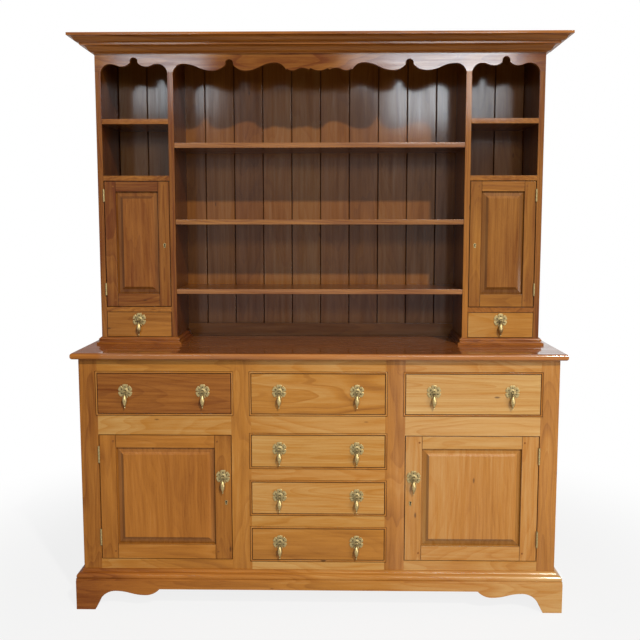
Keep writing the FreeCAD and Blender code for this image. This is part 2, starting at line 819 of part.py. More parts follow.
def make_foot_moulding():
    depth = value("foot_moulding_depth")
    height = value("foot_moulding_height")
    points = section_points(FOOT_SECTION, depth, height)

    def profile(place):
        return [
            straight((0, 0), (depth, 0), place),
            straight((depth, 0), points["fillet"], place),
            straight(points["fillet"], points["step"], place),
            straight(points["neck"], points["top"], place),
            straight(points["top"], (0, height), place),
            straight((0, height), (0, 0), place),
        ] + ogee(points["step"], points["neck"], place)

    inner = value(DIVIDER_INNER)
    outer = value(HALF_RACK)
    middle = (inner + outer) / 2
    rail_face = value(f"{PLANK_FACE} - back_rail_thickness")
    back = value(BACK)
    pieces = []
    for centre, ends in ((-middle, (back, rail_face)), (middle, (rail_face, back))):
        lengths = wrap_round("foot_moulding_length", profile, (outer - inner) / 2, value(RACK_FRONT),
                             ends, value("worktop_height"), depth)
        for length in lengths:
            length.Placement.Base.x = centre
        pieces += lengths
    node("rack_foot_moulding", pieces)


# Fittings, each made once about its own origin and then placed

def hinge_fixed(length):
    """Leaf on the frame's edge, two end knuckles and the pin; the frame's front corner is the origin."""
    third = f"({length} / 3)"
    half = f"({length} / 2)"
    axis = (f"{HINGE_GAP} / 2", f"-{HINGE_OUT}")
    leaf = ("0", "hinge_leaf_thickness")
    pieces = [board(leaf, ("0", "hinge_leaf_width"), (f"-{half}", half), "leaf")]
    for bottom in (f"-{half}", f"({half} - {third})"):
        pieces.append(board(leaf, (f"-{HINGE_OUT}", "0"), (bottom, f"{bottom} + {third}"), "arm"))
        pieces.append(rod("z", (*axis, bottom), "hinge_barrel_radius", third, "knuckle"))
    pieces.append(rod("z", (*axis, f"-{half}"), "hinge_pin_radius", length, "pin"))
    return fuse(pieces, "fixed_hinge_half")


def hinge_moving(length):
    """Leaf on the door's edge with the middle knuckle, bored for the pin."""
    half = f"({length} / 2)"
    middle = f"({length} / 6 - hinge_knuckle_gap)"
    axis = (f"{HINGE_GAP} / 2", f"-{HINGE_OUT}")
    leaf = (f"{HINGE_GAP} - hinge_leaf_thickness", HINGE_GAP)
    pieces = [
        board(leaf, ("0", "hinge_leaf_width"), (f"-{half}", half), "leaf"),
        board(leaf, (f"-{HINGE_OUT}", "0"), (f"-{middle}", middle), "arm"),
        rod("z", (*axis, f"-{middle}"), "hinge_barrel_radius", f"2 * {middle}", "knuckle"),
    ]
    bore = rod("z", (*axis, f"-{half}"), "hinge_pin_radius + hinge_pin_fit", length, "bore")
    return cut(fuse(pieces), bore, "moving_hinge_half")


def keyhole_plate():
    """Small plate round a keyhole; the middle of the round on the wood is the origin."""
    thick = "keyhole_plate_thickness"
    start = ("0", f"-{thick}", "0")
    depth = (f"-{thick}", "0")
    skirt = ("-keyhole_skirt_width / 2", "keyhole_skirt_width / 2")
    slot = ("-keyhole_slot_width / 2", "keyhole_slot_width / 2")
    rim = "(keyhole_plate_radius - keyhole_slot_radius)"
    plate = fuse([
        rod("y", start, "keyhole_plate_radius", thick),
        board(skirt, depth, ("-keyhole_plate_drop", "0")),
    ])
    hole = fuse([
        rod("y", start, "keyhole_slot_radius", thick),
        board(slot, depth, (f"{rim} - keyhole_plate_drop", "0")),
    ])
    return cut(plate, hole, "keyhole_plate")


ROSE_LOBES = 6


def pull_rose():
    """Lobed plate with a post, a forked head and its pin; its middle on the wood is the origin."""
    back = "-rose_thickness"
    pieces = [rod("y", ("0", back, "0"), "rose_disc_radius", "rose_thickness", "disc")]
    for index in range(ROSE_LOBES):
        angle = 2 * math.pi * index / ROSE_LOBES
        x = f"rose_lobe_circle * {math.sin(angle):.6f}"
        z = f"rose_lobe_circle * {math.cos(angle):.6f}"
        pieces.append(rod("y", (x, back, z), "rose_lobe_radius", "rose_thickness", "lobe"))
    head = "(pull_pin_out - pull_ear_reach - pull_eye_play)"
    pieces.append(rod("y", ("0", f"-{head}", "0"), "rose_post_radius", head, "post"))
    inner = "(pull_eye_width / 2 + pull_side_play)"
    outer = f"({inner} + pull_ear_thickness)"
    ear_depth = ("-pull_pin_out", f"-{head} + pull_eye_play")
    ear_height = ("-pull_ear_reach", "pull_ear_reach")
    for x in ((inner, outer), mirrored((inner, outer))):
        pieces.append(board(x, ear_depth, ear_height, "ear"))
        pieces.append(rod("x", (x[0], "-pull_pin_out", "0"), "pull_ear_reach", "pull_ear_thickness", "ear"))
    pieces.append(rod("x", (f"-{outer}", "-pull_pin_out", "0"), "pull_pin_radius", f"2 * {outer}", "pin"))
    return fuse(pieces, "pull_rose")


def turned_drop():
    """The round body of a drop: neck, spindle, stem and a ball at the tip."""
    neck = value("drop_neck_radius")
    spindle_end = value("drop_end_radius")
    tip = value("drop_tip_radius")
    shoulder_level = -value("drop_shoulder")
    foot_level = -value("drop_foot")
    tip_level = tip - value("drop_length")
    shoulder = (spindle_end, shoulder_level)
    widest = (value("drop_radius"), -value("drop_belly"))
    foot = (spindle_end, foot_level)
    ball_top = (neck, tip_level + math.sqrt(tip * tip - neck * neck))
    end = (0, tip_level - tip)

    def place(point):
        return FreeCAD.Vector(point[0], 0, point[1])

    outline = [
        straight((0, 0), (neck, 0), place),
        straight((neck, 0), (neck, shoulder_level), place),
        straight((neck, shoulder_level), shoulder, place),
        upright_arc(widest, shoulder, place),
        upright_arc(widest, foot, place),
        straight(foot, (neck, foot_level), place),
        straight((neck, foot_level), ball_top, place),
        curve(ball_top, (tip, tip_level), end, place),
        straight(end, (0, 0), place),
    ]
    face = Part.Face(Part.Wire(Part.__sortEdges__(outline)))
    return shaped("turned_drop", face.revolve(FreeCAD.Vector(), FreeCAD.Vector(0, 0, 1), 360))


def pull_drop():
    """Hanging drop with its eye; the pin's middle is the origin."""
    eye = rod("x", ("-pull_eye_width / 2", "0", "0"), "pull_ear_reach", "pull_eye_width", "eye")
    bore_radius = "pull_pin_radius + pull_pin_fit"
    bore = rod("x", ("-pull_eye_width / 2", "0", "0"), bore_radius, "pull_eye_width", "bore")
    return cut(fuse([eye, turned_drop()]), bore, "pull_drop")


ROSE = pull_rose()
DROP = pull_drop()
KEYHOLE = keyhole_plate()
BASE_HINGE = (hinge_fixed("base_hinge_length"), hinge_moving("base_hinge_length"))
RACK_HINGE = (hinge_fixed("rack_hinge_length"), hinge_moving("rack_hinge_length"))


def make_drops(name, places):
    """One hanging drop for each rose of a drawer or door."""
    for number, (x, face, z) in enumerate(places, start=1):
        suffix = f"_{number}" if len(places) > 1 else ""
        node(f"pull_drop_{name}{suffix}", [placed(DROP, x, f"{face} - pull_pin_out", z)])


# Drawers

def make_drawer(name, opening_x, opening_z, face, rear_space, pulls):
    """An open box with its front flush in the frame, and the roses on it."""
    left, right = opening_x
    bottom, top = opening_z
    outside = (f"{left} + drawer_gap", f"{right} - drawer_gap")
    inside = (f"{outside[0]} + drawer_side_thickness", f"{outside[1]} - drawer_side_thickness")
    behind_front = f"({face} + drawer_front_thickness)"
    rear = f"({PLANK_FACE} - {rear_space})"
    rear_inner = f"({rear} - drawer_side_thickness)"
    front_height = (f"{bottom} + drawer_gap", f"{top} - drawer_gap")
    side_height = (f"{bottom} + runner_clearance", f"{top} - drawer_side_drop")
    floor = f"({bottom} + drawer_bottom_lift)"
    floor_top = f"({floor} + drawer_bottom_thickness)"
    pieces = [
        board(outside, (face, behind_front), front_height, "drawer_front"),
        board((outside[0], inside[0]), (behind_front, rear), side_height, "drawer_side"),
        board((inside[1], outside[1]), (behind_front, rear), side_height, "drawer_side"),
        board(inside, (rear_inner, rear), (floor_top, side_height[1]), "drawer_back"),
        board(inside, (behind_front, rear), (floor, floor_top), "drawer_bottom"),
    ]
    node(f"drawer_{name}", pieces)
    node(f"pull_roses_{name}", [placed(ROSE, *place) for place in pulls])
    make_drops(name, pulls)


def make_drawers():
    for name, (bay, opening) in BASE_DRAWERS.items():
        centre = f"(({bay[0]} + {bay[1]}) / 2)"
        height = f"(({opening[0]} + {opening[1]}) / 2 + pull_rise)"
        pulls = [(f"{centre} {side} pull_half_spacing", FRONT, height) for side in "-+"]
        make_drawer(name, bay, opening, FRONT, "base_drawer_rear_space", pulls)
    bay = (DIVIDER_OUTER, RACK_INNER)
    opening = (RACK_DRAWER_BOTTOM, RACK_DRAWER_TOP)
    height = f"(({opening[0]} + {opening[1]}) / 2 + rack_pull_rise)"
    for name, span in (("rack_left", mirrored(bay)), ("rack_right", bay)):
        pulls = [(f"({span[0]} + {span[1]}) / 2", RACK_FRONT, height)]
        make_drawer(name, span, opening, RACK_FRONT, "rack_drawer_rear_space", pulls)


# Doors

def raised_panel(x, z, face):
    """A panel with a tongue for the grooves, a bevel all round and a flat field."""
    tongue_front = f"({face} + groove_setback)"
    field = f"({face} + panel_field_setback)"
    step = f"({field} + panel_field_step)"
    reach = "(groove_depth - panel_play)"
    tongue_depth = (tongue_front, f"{tongue_front} + groove_width")
    tongue = board((f"{x[0]} - {reach}", f"{x[1]} + {reach}"), tongue_depth,
                   (f"{z[0]} - {reach}", f"{z[1]} + {reach}"), "tongue")
    bevel = doc.addObject("Part::Wedge", "bevel")
    width = f"({x[1]} - ({x[0]}) - 2 * panel_play)"
    height = f"({z[1]} - ({z[0]}) - 2 * panel_play)"
    bind(bevel, Xmin="panel_bevel_width", Xmax=f"{width} - panel_bevel_width",
         Zmin="panel_bevel_width", Zmax=f"{height} - panel_bevel_width",
         Ymin="0", Ymax=f"{tongue_front} - {step}",
         X2min="0", X2max=width, Z2min="0", Z2max=height)
    move(bevel, f"{x[0]} + panel_play", step, f"{z[0]} + panel_play")
    inset = "(panel_play + panel_bevel_width)"
    plate = board((f"{x[0]} + {inset}", f"{x[1]} - {inset}"), (field, step),
                  (f"{z[0]} + {inset}", f"{z[1]} - {inset}"), "field")
    return fuse([tongue, bevel, plate], "raised_panel")


def door_frame(x, z, face, stile, top_rail, bottom_rail):
    """Two grooved stiles, two rails with stub tenons in the grooves, and the panel between them."""
    depth = (face, f"{face} + door_thickness")
    groove = (f"{face} + groove_setback", f"{face} + groove_setback + groove_width")
    sight_x = (f"({x[0]} + {stile})", f"({x[1]} - {stile})")
    sight_z = (f"({z[0]} + {bottom_rail})", f"({z[1]} - {top_rail})")
    groove_x = (f"{sight_x[0]} - groove_depth", f"{sight_x[1]} + groove_depth")
    groove_z = (f"{sight_z[0]} - groove_depth", f"{sight_z[1]} + groove_depth")
    pieces = []
    for wood, slot in (((x[0], sight_x[0]), (groove_x[0], sight_x[0])),
                       ((sight_x[1], x[1]), (sight_x[1], groove_x[1]))):
        pieces.append(cut(board(wood, depth, z), board(slot, groove, z), "stile"))
    for wood, slot in (((z[0], sight_z[0]), (groove_z[0], sight_z[0])),
                       ((sight_z[1], z[1]), (sight_z[1], groove_z[1]))):
        rail = fuse([board(sight_x, depth, wood), board(groove_x, groove, wood)])
        pieces.append(cut(rail, board(groove_x, groove, slot), "rail"))
    pieces.append(raised_panel(sight_x, sight_z, face))
    return pieces


def make_door(name, opening_x, opening_z, face, members, hinge, hinge_insets, lock_rise, pull):
    """A framed door hung on the left or right edge of its opening; returns its fixed hinge halves."""
    on_left = name.endswith("left")
    gaps = (HINGE_GAP, "door_gap") if on_left else ("door_gap", HINGE_GAP)
    x = (f"({opening_x[0]} + {gaps[0]})", f"({opening_x[1]} - {gaps[1]})")
    z = (f"({opening_z[0]} + door_gap)", f"({opening_z[1]} - door_gap)")
    node(f"door_{name}", door_frame(x, z, face, *members))

    hinge_edge = opening_x[0] if on_left else opening_x[1]
    heights = (f"{opening_z[1]} - {hinge_insets[0]}", f"{opening_z[0]} + {hinge_insets[1]}")
    fixed = [placed(hinge[0], hinge_edge, face, height, not on_left) for height in heights]
    brass = [placed(hinge[1], hinge_edge, face, height, not on_left) for height in heights]

    inward = "-" if on_left else "+"
    free_edge = x[1] if on_left else x[0]
    case_near = f"({free_edge} {inward} lock_edge_inset)"
    case_far = f"({case_near} {inward} lock_width)"
    case_x = (case_far, case_near) if on_left else (case_near, case_far)
    door_back = f"({face} + door_thickness)"
    keyhole_z = f"({opening_z[0]} + {lock_rise})"
    case_z = (f"{keyhole_z} - lock_height / 2", f"{keyhole_z} + lock_height / 2")
    brass.append(board(case_x, (door_back, f"{door_back} + lock_depth"), case_z, "lock_case"))
    brass.append(placed(KEYHOLE, f"{free_edge} {inward} keyhole_edge_inset", face, keyhole_z))
    if pull:
        pull_z = f"({opening_z[0]} + door_pull_rise)"
        place = (f"{free_edge} {inward} door_pull_inset", face, pull_z)
        brass.append(placed(ROSE, *place))
        make_drops(f"door_{name}", [place])
    node(f"door_{name}_brassware", brass)
    return fixed


def make_doors():
    base_members = ("base_stile_width", "base_door_top_rail", "base_door_bottom_rail")
    rack_members = ("rack_stile_width", "rack_door_top_rail", "rack_door_bottom_rail")
    base_insets = ("base_hinge_top_inset", "base_hinge_bottom_inset")
    rack_insets = ("rack_hinge_top_inset", "rack_hinge_bottom_inset")
    base_opening = (LOWER_BOTTOM, LOWER_TOP)
    rack_opening = (RACK_DOOR_BOTTOM, RACK_DOOR_TOP)
    rack_bay = (DIVIDER_OUTER, RACK_INNER)
    fixed = []
    for name, bay in (("base_left", LEFT_BAY), ("base_right", RIGHT_BAY)):
        fixed += make_door(name, bay, base_opening, FRONT, base_members, BASE_HINGE, base_insets,
                           "base_lock_rise", True)
    for name, bay in (("rack_left", mirrored(rack_bay)), ("rack_right", rack_bay)):
        fixed += make_door(name, bay, rack_opening, RACK_FRONT, rack_members, RACK_HINGE, rack_insets,
                           "rack_lock_rise", False)
    node("frame_hinge_leaves", fixed)


def check_and_write():
    """Recompute, stop on anything broken, then write one file for each sub-part."""
    doc.recompute()
    for thing in doc.Objects:
        if "Invalid" in thing.State or "Error" in thing.State:
            raise RuntimeError(f"{thing.Label} did not recompute: {thing.State}")
    for part in NODES:
        if part.Shape.isNull() or not part.Shape.isValid():
            raise RuntimeError(f"{part.Label} has no valid shape")
    os.makedirs("parts", exist_ok=True)
    for part in NODES:
        part.Shape.exportStep(f"parts/{part.Label}.step")
    print(len(NODES), "sub-parts,", sum(len(part.Shape.Solids) for part in NODES), "solids")


make_base_carcass()
make_front_frame()
make_runners()
make_worktop()
make_plinth()
make_plinth_moulding()
make_rack_carcass()
make_frieze()
make_cornice()
make_foot_moulding()
make_drawers()
make_doors()
check_and_write()
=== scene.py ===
import json
import math
import random

import bmesh
import bpy
import numpy as np
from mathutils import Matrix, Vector


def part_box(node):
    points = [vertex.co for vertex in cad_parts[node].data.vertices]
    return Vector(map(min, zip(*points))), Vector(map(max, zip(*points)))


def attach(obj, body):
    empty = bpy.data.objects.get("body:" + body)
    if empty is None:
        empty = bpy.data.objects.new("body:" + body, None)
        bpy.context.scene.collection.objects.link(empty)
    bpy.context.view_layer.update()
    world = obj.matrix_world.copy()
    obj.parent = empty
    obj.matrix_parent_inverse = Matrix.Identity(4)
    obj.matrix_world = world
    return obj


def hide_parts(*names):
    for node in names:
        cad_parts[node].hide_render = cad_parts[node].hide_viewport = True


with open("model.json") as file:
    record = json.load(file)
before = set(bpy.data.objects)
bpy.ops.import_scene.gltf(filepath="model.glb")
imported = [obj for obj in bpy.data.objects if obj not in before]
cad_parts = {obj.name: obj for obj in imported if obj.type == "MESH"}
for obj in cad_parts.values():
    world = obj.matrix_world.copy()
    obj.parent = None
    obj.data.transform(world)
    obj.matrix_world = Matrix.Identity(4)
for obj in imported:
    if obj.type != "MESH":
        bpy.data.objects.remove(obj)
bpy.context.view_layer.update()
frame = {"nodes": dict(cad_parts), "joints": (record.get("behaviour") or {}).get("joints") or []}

bl_info = {
    "name": "Open Dresser",
    "version": (1, 0, 0),
    "blender": (4, 5, 0),
    "location": "View3D > Sidebar > Dresser",
    "description": "Dresses the packed frame of an open cherry dresser: woodwork, brass and studio",
    "category": "Object",
}

MILLIMETRE = 0.001
X, Y, Z = 0, 1, 2
# Metres within which two places count as level with each other, and as one
LEVEL = 1e-5
SAME = 1e-6
# Faces that meet at less than this are shaded as one
SMOOTH_ANGLE = math.radians(40)


# What a user may change

class DresserWoodwork(bpy.types.PropertyGroup):
    """Sizes of the joiner's finer work."""

    arris: bpy.props.FloatProperty(
        name="Arris", description="Rounding on the edges of every board",
        default=0.6 * MILLIMETRE, unit="LENGTH")
    moulding_arris: bpy.props.FloatProperty(
        name="Moulding arris", description="Rounding on the edges of the mouldings",
        default=0.5 * MILLIMETRE, unit="LENGTH")
    shelf_arris: bpy.props.FloatProperty(
        name="Shelf arris", description="Rounding on the edges of shelves, frieze and plinth",
        default=1.2 * MILLIMETRE, unit="LENGTH")
    front_arris: bpy.props.FloatProperty(
        name="Front arris", description="Rounding on the edges of drawer fronts and doors",
        default=1.1 * MILLIMETRE, unit="LENGTH")
    panel_arris: bpy.props.FloatProperty(
        name="Panel arris", description="Rounding of the edge round the field of a raised panel",
        default=0.8 * MILLIMETRE, unit="LENGTH")
    plank_joint: bpy.props.FloatProperty(
        name="Plank joint", description="Half the width of the V between two planks of the back",
        default=2.6 * MILLIMETRE, unit="LENGTH")
    bead_width: bpy.props.FloatProperty(
        name="Bead", description="Width of the bead round each drawer of the base",
        default=6.0 * MILLIMETRE, unit="LENGTH")
    quirk_width: bpy.props.FloatProperty(
        name="Quirk", description="Width of the fine groove outside the bead",
        default=1.1 * MILLIMETRE, unit="LENGTH")
    bead_depth: bpy.props.FloatProperty(
        name="Bead depth", description="How deep the bead is let into the front frame",
        default=3.5 * MILLIMETRE, unit="LENGTH")
    drawer_gap: bpy.props.FloatProperty(
        name="Drawer gap", description="Gap round a drawer front in its opening",
        default=1 * MILLIMETRE, unit="LENGTH")
    peg_diameter: bpy.props.FloatProperty(
        name="Peg", description="Diameter of the pegs in the door joints",
        default=7 * MILLIMETRE, unit="LENGTH")


class DresserFinish(bpy.types.PropertyGroup):
    """Colours of wood and brass."""

    honey: bpy.props.FloatVectorProperty(
        name="Honey", description="Lightest tone of the cherry", subtype="COLOR",
        default=(0.54, 0.340, 0.120))
    amber: bpy.props.FloatVectorProperty(
        name="Amber", description="Middle tone of the cherry", subtype="COLOR",
        default=(0.390, 0.164, 0.025))
    russet: bpy.props.FloatVectorProperty(
        name="Russet", description="Darkest tone of the cherry", subtype="COLOR",
        default=(0.125, 0.032, 0.005))
    # This colour stands for old wax, and also for painted shade in grooves, gaps and on faces turned away
    # from the light
    grime_and_shade: bpy.props.FloatVectorProperty(
        name="Grime", description="Old wax and dirt in joints and quirks", subtype="COLOR",
        default=(0.040, 0.013, 0.004))
    lining: bpy.props.FloatVectorProperty(
        name="Lining", description="Pale wood inside the drawers", subtype="COLOR",
        default=(0.52, 0.36, 0.19))
    brass: bpy.props.FloatVectorProperty(
        name="Brass", description="Rubbed brass of the fittings", subtype="COLOR",
        default=(0.50, 0.375, 0.165))
    # This colour also paints the shade behind the piercing of a rose and under the eye of a drop
    patina_and_shade: bpy.props.FloatVectorProperty(
        name="Patina", description="Dark tarnish in the hollows of the brass", subtype="COLOR",
        default=(0.060, 0.046, 0.020))
    polish: bpy.props.FloatProperty(
        name="Polish", description="Weight of the clear polish over the wood",
        default=0.30, min=0, max=1, subtype="FACTOR")


class DresserPulls(bpy.types.PropertyGroup):
    """Sizes of the drop pulls."""

    rose_radius: bpy.props.FloatProperty(
        name="Rose radius", description="Reach of the petals of a rose",
        default=24.6 * MILLIMETRE, unit="LENGTH")
    rose_thickness: bpy.props.FloatProperty(
        name="Rose thickness", description="Thickness of the petals",
        default=1.8 * MILLIMETRE, unit="LENGTH")
    pin_out: bpy.props.FloatProperty(
        name="Pin", description="Distance of the pin from the wood",
        default=12 * MILLIMETRE, unit="LENGTH")
    drop_length: bpy.props.FloatProperty(
        name="Drop", description="Length of the drop below its pin",
        default=57 * MILLIMETRE, unit="LENGTH")
    drop_radius: bpy.props.FloatProperty(
        name="Drop radius", description="Widest radius of the drop",
        default=8.2 * MILLIMETRE, unit="LENGTH")


class DresserStudio(bpy.types.PropertyGroup):
    """Camera, floor and lamps."""

    camera_place: bpy.props.FloatVectorProperty(
        name="Camera", description="Place of the camera",
        default=(0.059, -3.112, 1.340), subtype="TRANSLATION", unit="LENGTH")
    camera_pitch: bpy.props.FloatProperty(
        name="Pitch", description="How far the camera looks down",
        default=math.radians(6.35), subtype="ANGLE")
    camera_turn: bpy.props.FloatProperty(
        name="Turn", description="How far the camera is turned to the left",
        default=math.radians(1.04), subtype="ANGLE")
    lens: bpy.props.FloatProperty(
        name="Lens", description="Focal length in millimetres on a 36 mm sensor",
        default=48.42, unit="CAMERA")
    floor: bpy.props.FloatVectorProperty(
        name="Floor", description="Colour of the floor", subtype="COLOR", default=(0.55, 0.55, 0.55))
    sky: bpy.props.FloatProperty(
        name="Room light", description="Strength of the even light of the room",
        default=0.12, min=0, soft_max=1, subtype="FACTOR")
    key: bpy.props.FloatProperty(
        name="Key light", description="Power of the far lamp high on the right", default=705, unit="POWER")
    right_window: bpy.props.FloatProperty(
        name="Right window", description="Power of the soft lamp behind the camera on the right",
        default=34, unit="POWER")
    top_light: bpy.props.FloatProperty(
        name="Top light", description="Power of the small lamp beside the right window",
        default=3.3, unit="POWER")
    left_window: bpy.props.FloatProperty(
        name="Left window", description="Power of the soft lamp behind the camera on the left",
        default=13, unit="POWER")
    low_fill: bpy.props.FloatProperty(
        name="Low fill", description="Power of the low lamp on the right", default=2.8, unit="POWER")


# Shader sums

class Shade:
    """A shader socket that takes part in sums, and the maker of every node beside it."""

    def __init__(self, tree, socket=None):
        self.tree = tree
        self.socket = socket

    def node(self, kind, settings, sockets, output=0):
        """Add a node: its settings first, then the values or links of its sockets."""
        made = self.tree.nodes.new(kind)
        for name, setting in settings.items():
            if name == "stops":
                ramp = made.color_ramp
                while len(ramp.elements) < len(setting):
                    ramp.elements.new(1)
                for element, (place, colour) in zip(ramp.elements, setting):
                    element.position = place
                    element.color = (*colour, 1)
            else:
                setattr(made, name, setting)
        for name, value in sockets.items():
            if isinstance(value, Shade):
                self.tree.links.new(value.socket, made.inputs[name])
            else:
                made.inputs[name].default_value = value
        return Shade(self.tree, made.outputs[output])

    def math(self, operation, first, second=0.0, clamp=False):
        """One step of arithmetic on numbers or sums."""
        settings = {"operation": operation, "use_clamp": clamp}
        return self.node("ShaderNodeMath", settings, {0: first, 1: second})

    def __add__(self, other):
        return self.math("ADD", self, other)

    def __radd__(self, other):
        return self.math("ADD", other, self)

    def __sub__(self, other):
        return self.math("SUBTRACT", self, other)

    def __rsub__(self, other):
        return self.math("SUBTRACT", other, self)

    def __mul__(self, other):
        return self.math("MULTIPLY", self, other)

    def __rmul__(self, other):
        return self.math("MULTIPLY", other, self)

    def between(self, low, high):
        """From 0 at low to 1 at high, smoothly."""
        settings = {"interpolation_type": "SMOOTHSTEP"}
        return self.node("ShaderNodeMapRange", settings, {"Value": self, "From Min": low, "From Max": high})

    def noise(self, place, scale, detail=3.0, roughness=0.5):
        """An uneven value about 0.5."""
        sockets = {"Vector": place, "Scale": scale, "Detail": detail, "Roughness": roughness}
        return self.node("ShaderNodeTexNoise", {}, sockets)

    def stretched(self, place, factors):
        """A place with each axis multiplied by its own factor."""
        return self.node("ShaderNodeVectorMath", {"operation": "MULTIPLY"}, {0: place, 1: factors})

    def parts(self, place):
        """The three numbers of a vector."""
        return [self.node("ShaderNodeSeparateXYZ", {}, {"Vector": place}, output=axis) for axis in "XYZ"]

    def mixed(self, factor, first, second):
        """One colour fading into another."""
        colour = {"data_type": "RGBA"}
        return self.node("ShaderNodeMix", colour, {0: factor, 6: first, 7: second}, output=2)


def new_material(name):
    """A material with a bare shader, and the Shade that adds its nodes."""
    material = bpy.data.materials.new(name)
    material.use_nodes = True
    shader = material.node_tree.nodes["Principled BSDF"]
    return material, shader, Shade(material.node_tree)


def feed(shader, shade, name):
    """Link a sum to a socket of the shader."""
    shade.tree.links.new(shade.socket, shader.inputs[name])


# Materials

RING_SPACING = 8 * MILLIMETRE
LOG_TAPER = 0.035


def wood(name, tones, grime_and_shade, polish, roughness, coat_roughness=0.12):
    """Polished wood that follows each board's own grain and tone.

    The boards carry four attributes: grain, their place in the log along, across and
    through the board; finish, which is lightness, redness and strength of figure; dirt,
    how much old wax and painted shade darken them there; and waxed, the thickness of the polish,
    where 1 is usual and less means thin, dull polish.
    """
    material, shader, shade = new_material(name)
    dark, middle, light = tones
    grain = shade.node("ShaderNodeAttribute", {"attribute_name": "grain"}, {}, output="Vector")
    finish = shade.node("ShaderNodeAttribute", {"attribute_name": "finish"}, {}, output="Vector")
    dirt = shade.node("ShaderNodeAttribute", {"attribute_name": "dirt"}, {}, output="Fac")
    waxed = shade.node("ShaderNodeAttribute", {"attribute_name": "waxed"}, {}, output="Fac")
    tone, redness, figure = shade.parts(finish)
    along, across, through = shade.parts(grain)

    # growth rings of a slightly crooked, tapering log: soft bands and thin dark lines
    crook = shade.noise(shade.stretched(grain, (1.2, 6.0, 6.0)), 1.5, 2.0)
    depth = through + along * LOG_TAPER + (crook - 0.5) * 0.07
    radius = shade.math("SQRT", across * across + depth * depth)
    ring_sockets = {"X": radius * (0.8 / RING_SPACING), "Y": along * 0.6}
    ring_place = shade.node("ShaderNodeCombineXYZ", {}, ring_sockets)
    band = shade.noise(ring_place, 1.0, 3.0, 0.6)
    ring = shade.math("FRACT", radius * (1 / RING_SPACING) + band * 1.6)
    late_wood = ring.between(0.45, 0.93) * (1 - ring.between(0.93, 1.0))

    # clouds, streaks, fibres and short flecks along the grain
    cloud = shade.noise(shade.stretched(grain, (2.0, 8.0, 8.0)), 1.0, 2.0)
    streak = shade.noise(shade.stretched(grain, (3.5, 80.0, 80.0)), 1.0, 3.0, 0.6)
    fibre = shade.noise(shade.stretched(grain, (14.0, 520.0, 520.0)), 1.0, 2.0, 0.6)
    fleck = shade.noise(shade.stretched(grain, (70.0, 620.0, 620.0)), 1.0, 1.0).between(0.62, 0.74)

    # a few small gum specks and pin knots
    cells = {"Vector": shade.stretched(grain, (9.0, 26.0, 26.0)), "Scale": 1.0, "Randomness": 1.0}
    speck_distance = shade.node("ShaderNodeTexVoronoi", {}, cells, output="Distance")
    speck_cell = shade.node("ShaderNodeTexVoronoi", {}, cells, output="Color")
    chosen = shade.node("ShaderNodeSeparateColor", {}, {"Color": speck_cell}, output="Red")
    speck = (1 - speck_distance.between(0.04, 0.12)) * chosen.between(0.86, 0.90)

    pattern = (band - 0.5) * 0.45 - late_wood * 0.11
    lightness = 0.5 + tone + pattern * figure + (cloud - 0.5) * 0.40 + (streak - 0.5) * 0.42
    lightness = lightness + (fibre - 0.5) * 0.24 - fleck * 0.08
    ramp = {"stops": [(0.0, dark), (0.5, middle), (1.0, light)]}
    colour = shade.node("ShaderNodeValToRGB", ramp, {"Fac": lightness})
    red_cast = shade.node("ShaderNodeMix", {"data_type": "RGBA", "blend_type": "MULTIPLY"},
                          {0: redness, 6: colour, 7: (1.0, 0.81, 0.80, 1)}, output=2)
    # dirt mixes in the grime_and_shade colour: old wax, and painted shade in grooves, gaps and on faces
    # turned away from the light
    darkened = shade.math("ADD", dirt, speck * 0.7, clamp=True)
    feed(shader, shade.mixed(darkened, red_cast, (*grime_and_shade, 1)), "Base Color")
    # here wear_and_shade is only the polish rubbed thin, which makes the wood duller
    wear_and_shade = shade.math("MAXIMUM", 1 - waxed, 0.0)
    uneven = roughness + (streak - 0.5) * 0.12 + fleck * 0.08
    feed(shader, uneven + darkened * 0.2 + wear_and_shade * 0.6, "Roughness")
    height = (fibre - 0.5) * 0.6 - fleck * 0.6 - late_wood * 0.3
    bump = shade.node("ShaderNodeBump", {}, {"Strength": 0.2, "Distance": 0.0004, "Height": height})
    feed(shader, bump, "Normal")
    shader.inputs["Specular IOR Level"].default_value = 0.04
    feed(shader, waxed * (0.2 + 1.6 * streak) * polish, "Coat Weight")
    shader.inputs["Coat Roughness"].default_value = coat_roughness
    return material


def shaded(colour, shares):
    """A colour with each of its channels made lighter or darker."""
    return tuple(channel * share for channel, share in zip(colour, shares))


def make_brass(finish):
    """Rubbed brass, bright where hands reach, dark with patina in its hollows and with painted shade."""
    material, shader, shade = new_material("rubbed_brass")
    place = shade.node("ShaderNodeTexCoord", {}, {}, output="Object")
    hollow = shade.node("ShaderNodeAttribute", {"attribute_name": "hollow"}, {}, output="Fac")
    stain = shade.noise(place, 260.0, 4.0, 0.62)
    speck = shade.noise(place, 1300.0, 2.0)
    tarnish_and_shade = shade.math("ADD", hollow * 0.9, (stain - 0.45) * 0.9 + (speck - 0.5) * 0.25, clamp=True)
    bright = (*finish.brass, 1)
    dull = (*shaded(finish.brass, (0.55, 0.55, 0.55)), 1)
    rubbed = shade.mixed(stain.between(0.35, 0.7), bright, dull)
    feed(shader, shade.mixed(tarnish_and_shade, rubbed, (*finish.patina_and_shade, 1)), "Base Color")
    feed(shader, 0.40 + tarnish_and_shade * 0.25 + (speck - 0.5) * 0.1, "Roughness")
    feed(shader, 1 - tarnish_and_shade * 0.45, "Metallic")
    height = stain + speck * 0.4
    bump = shade.node("ShaderNodeBump", {}, {"Strength": 0.25, "Distance": 0.0003, "Height": height})
    feed(shader, bump, "Normal")
    return material


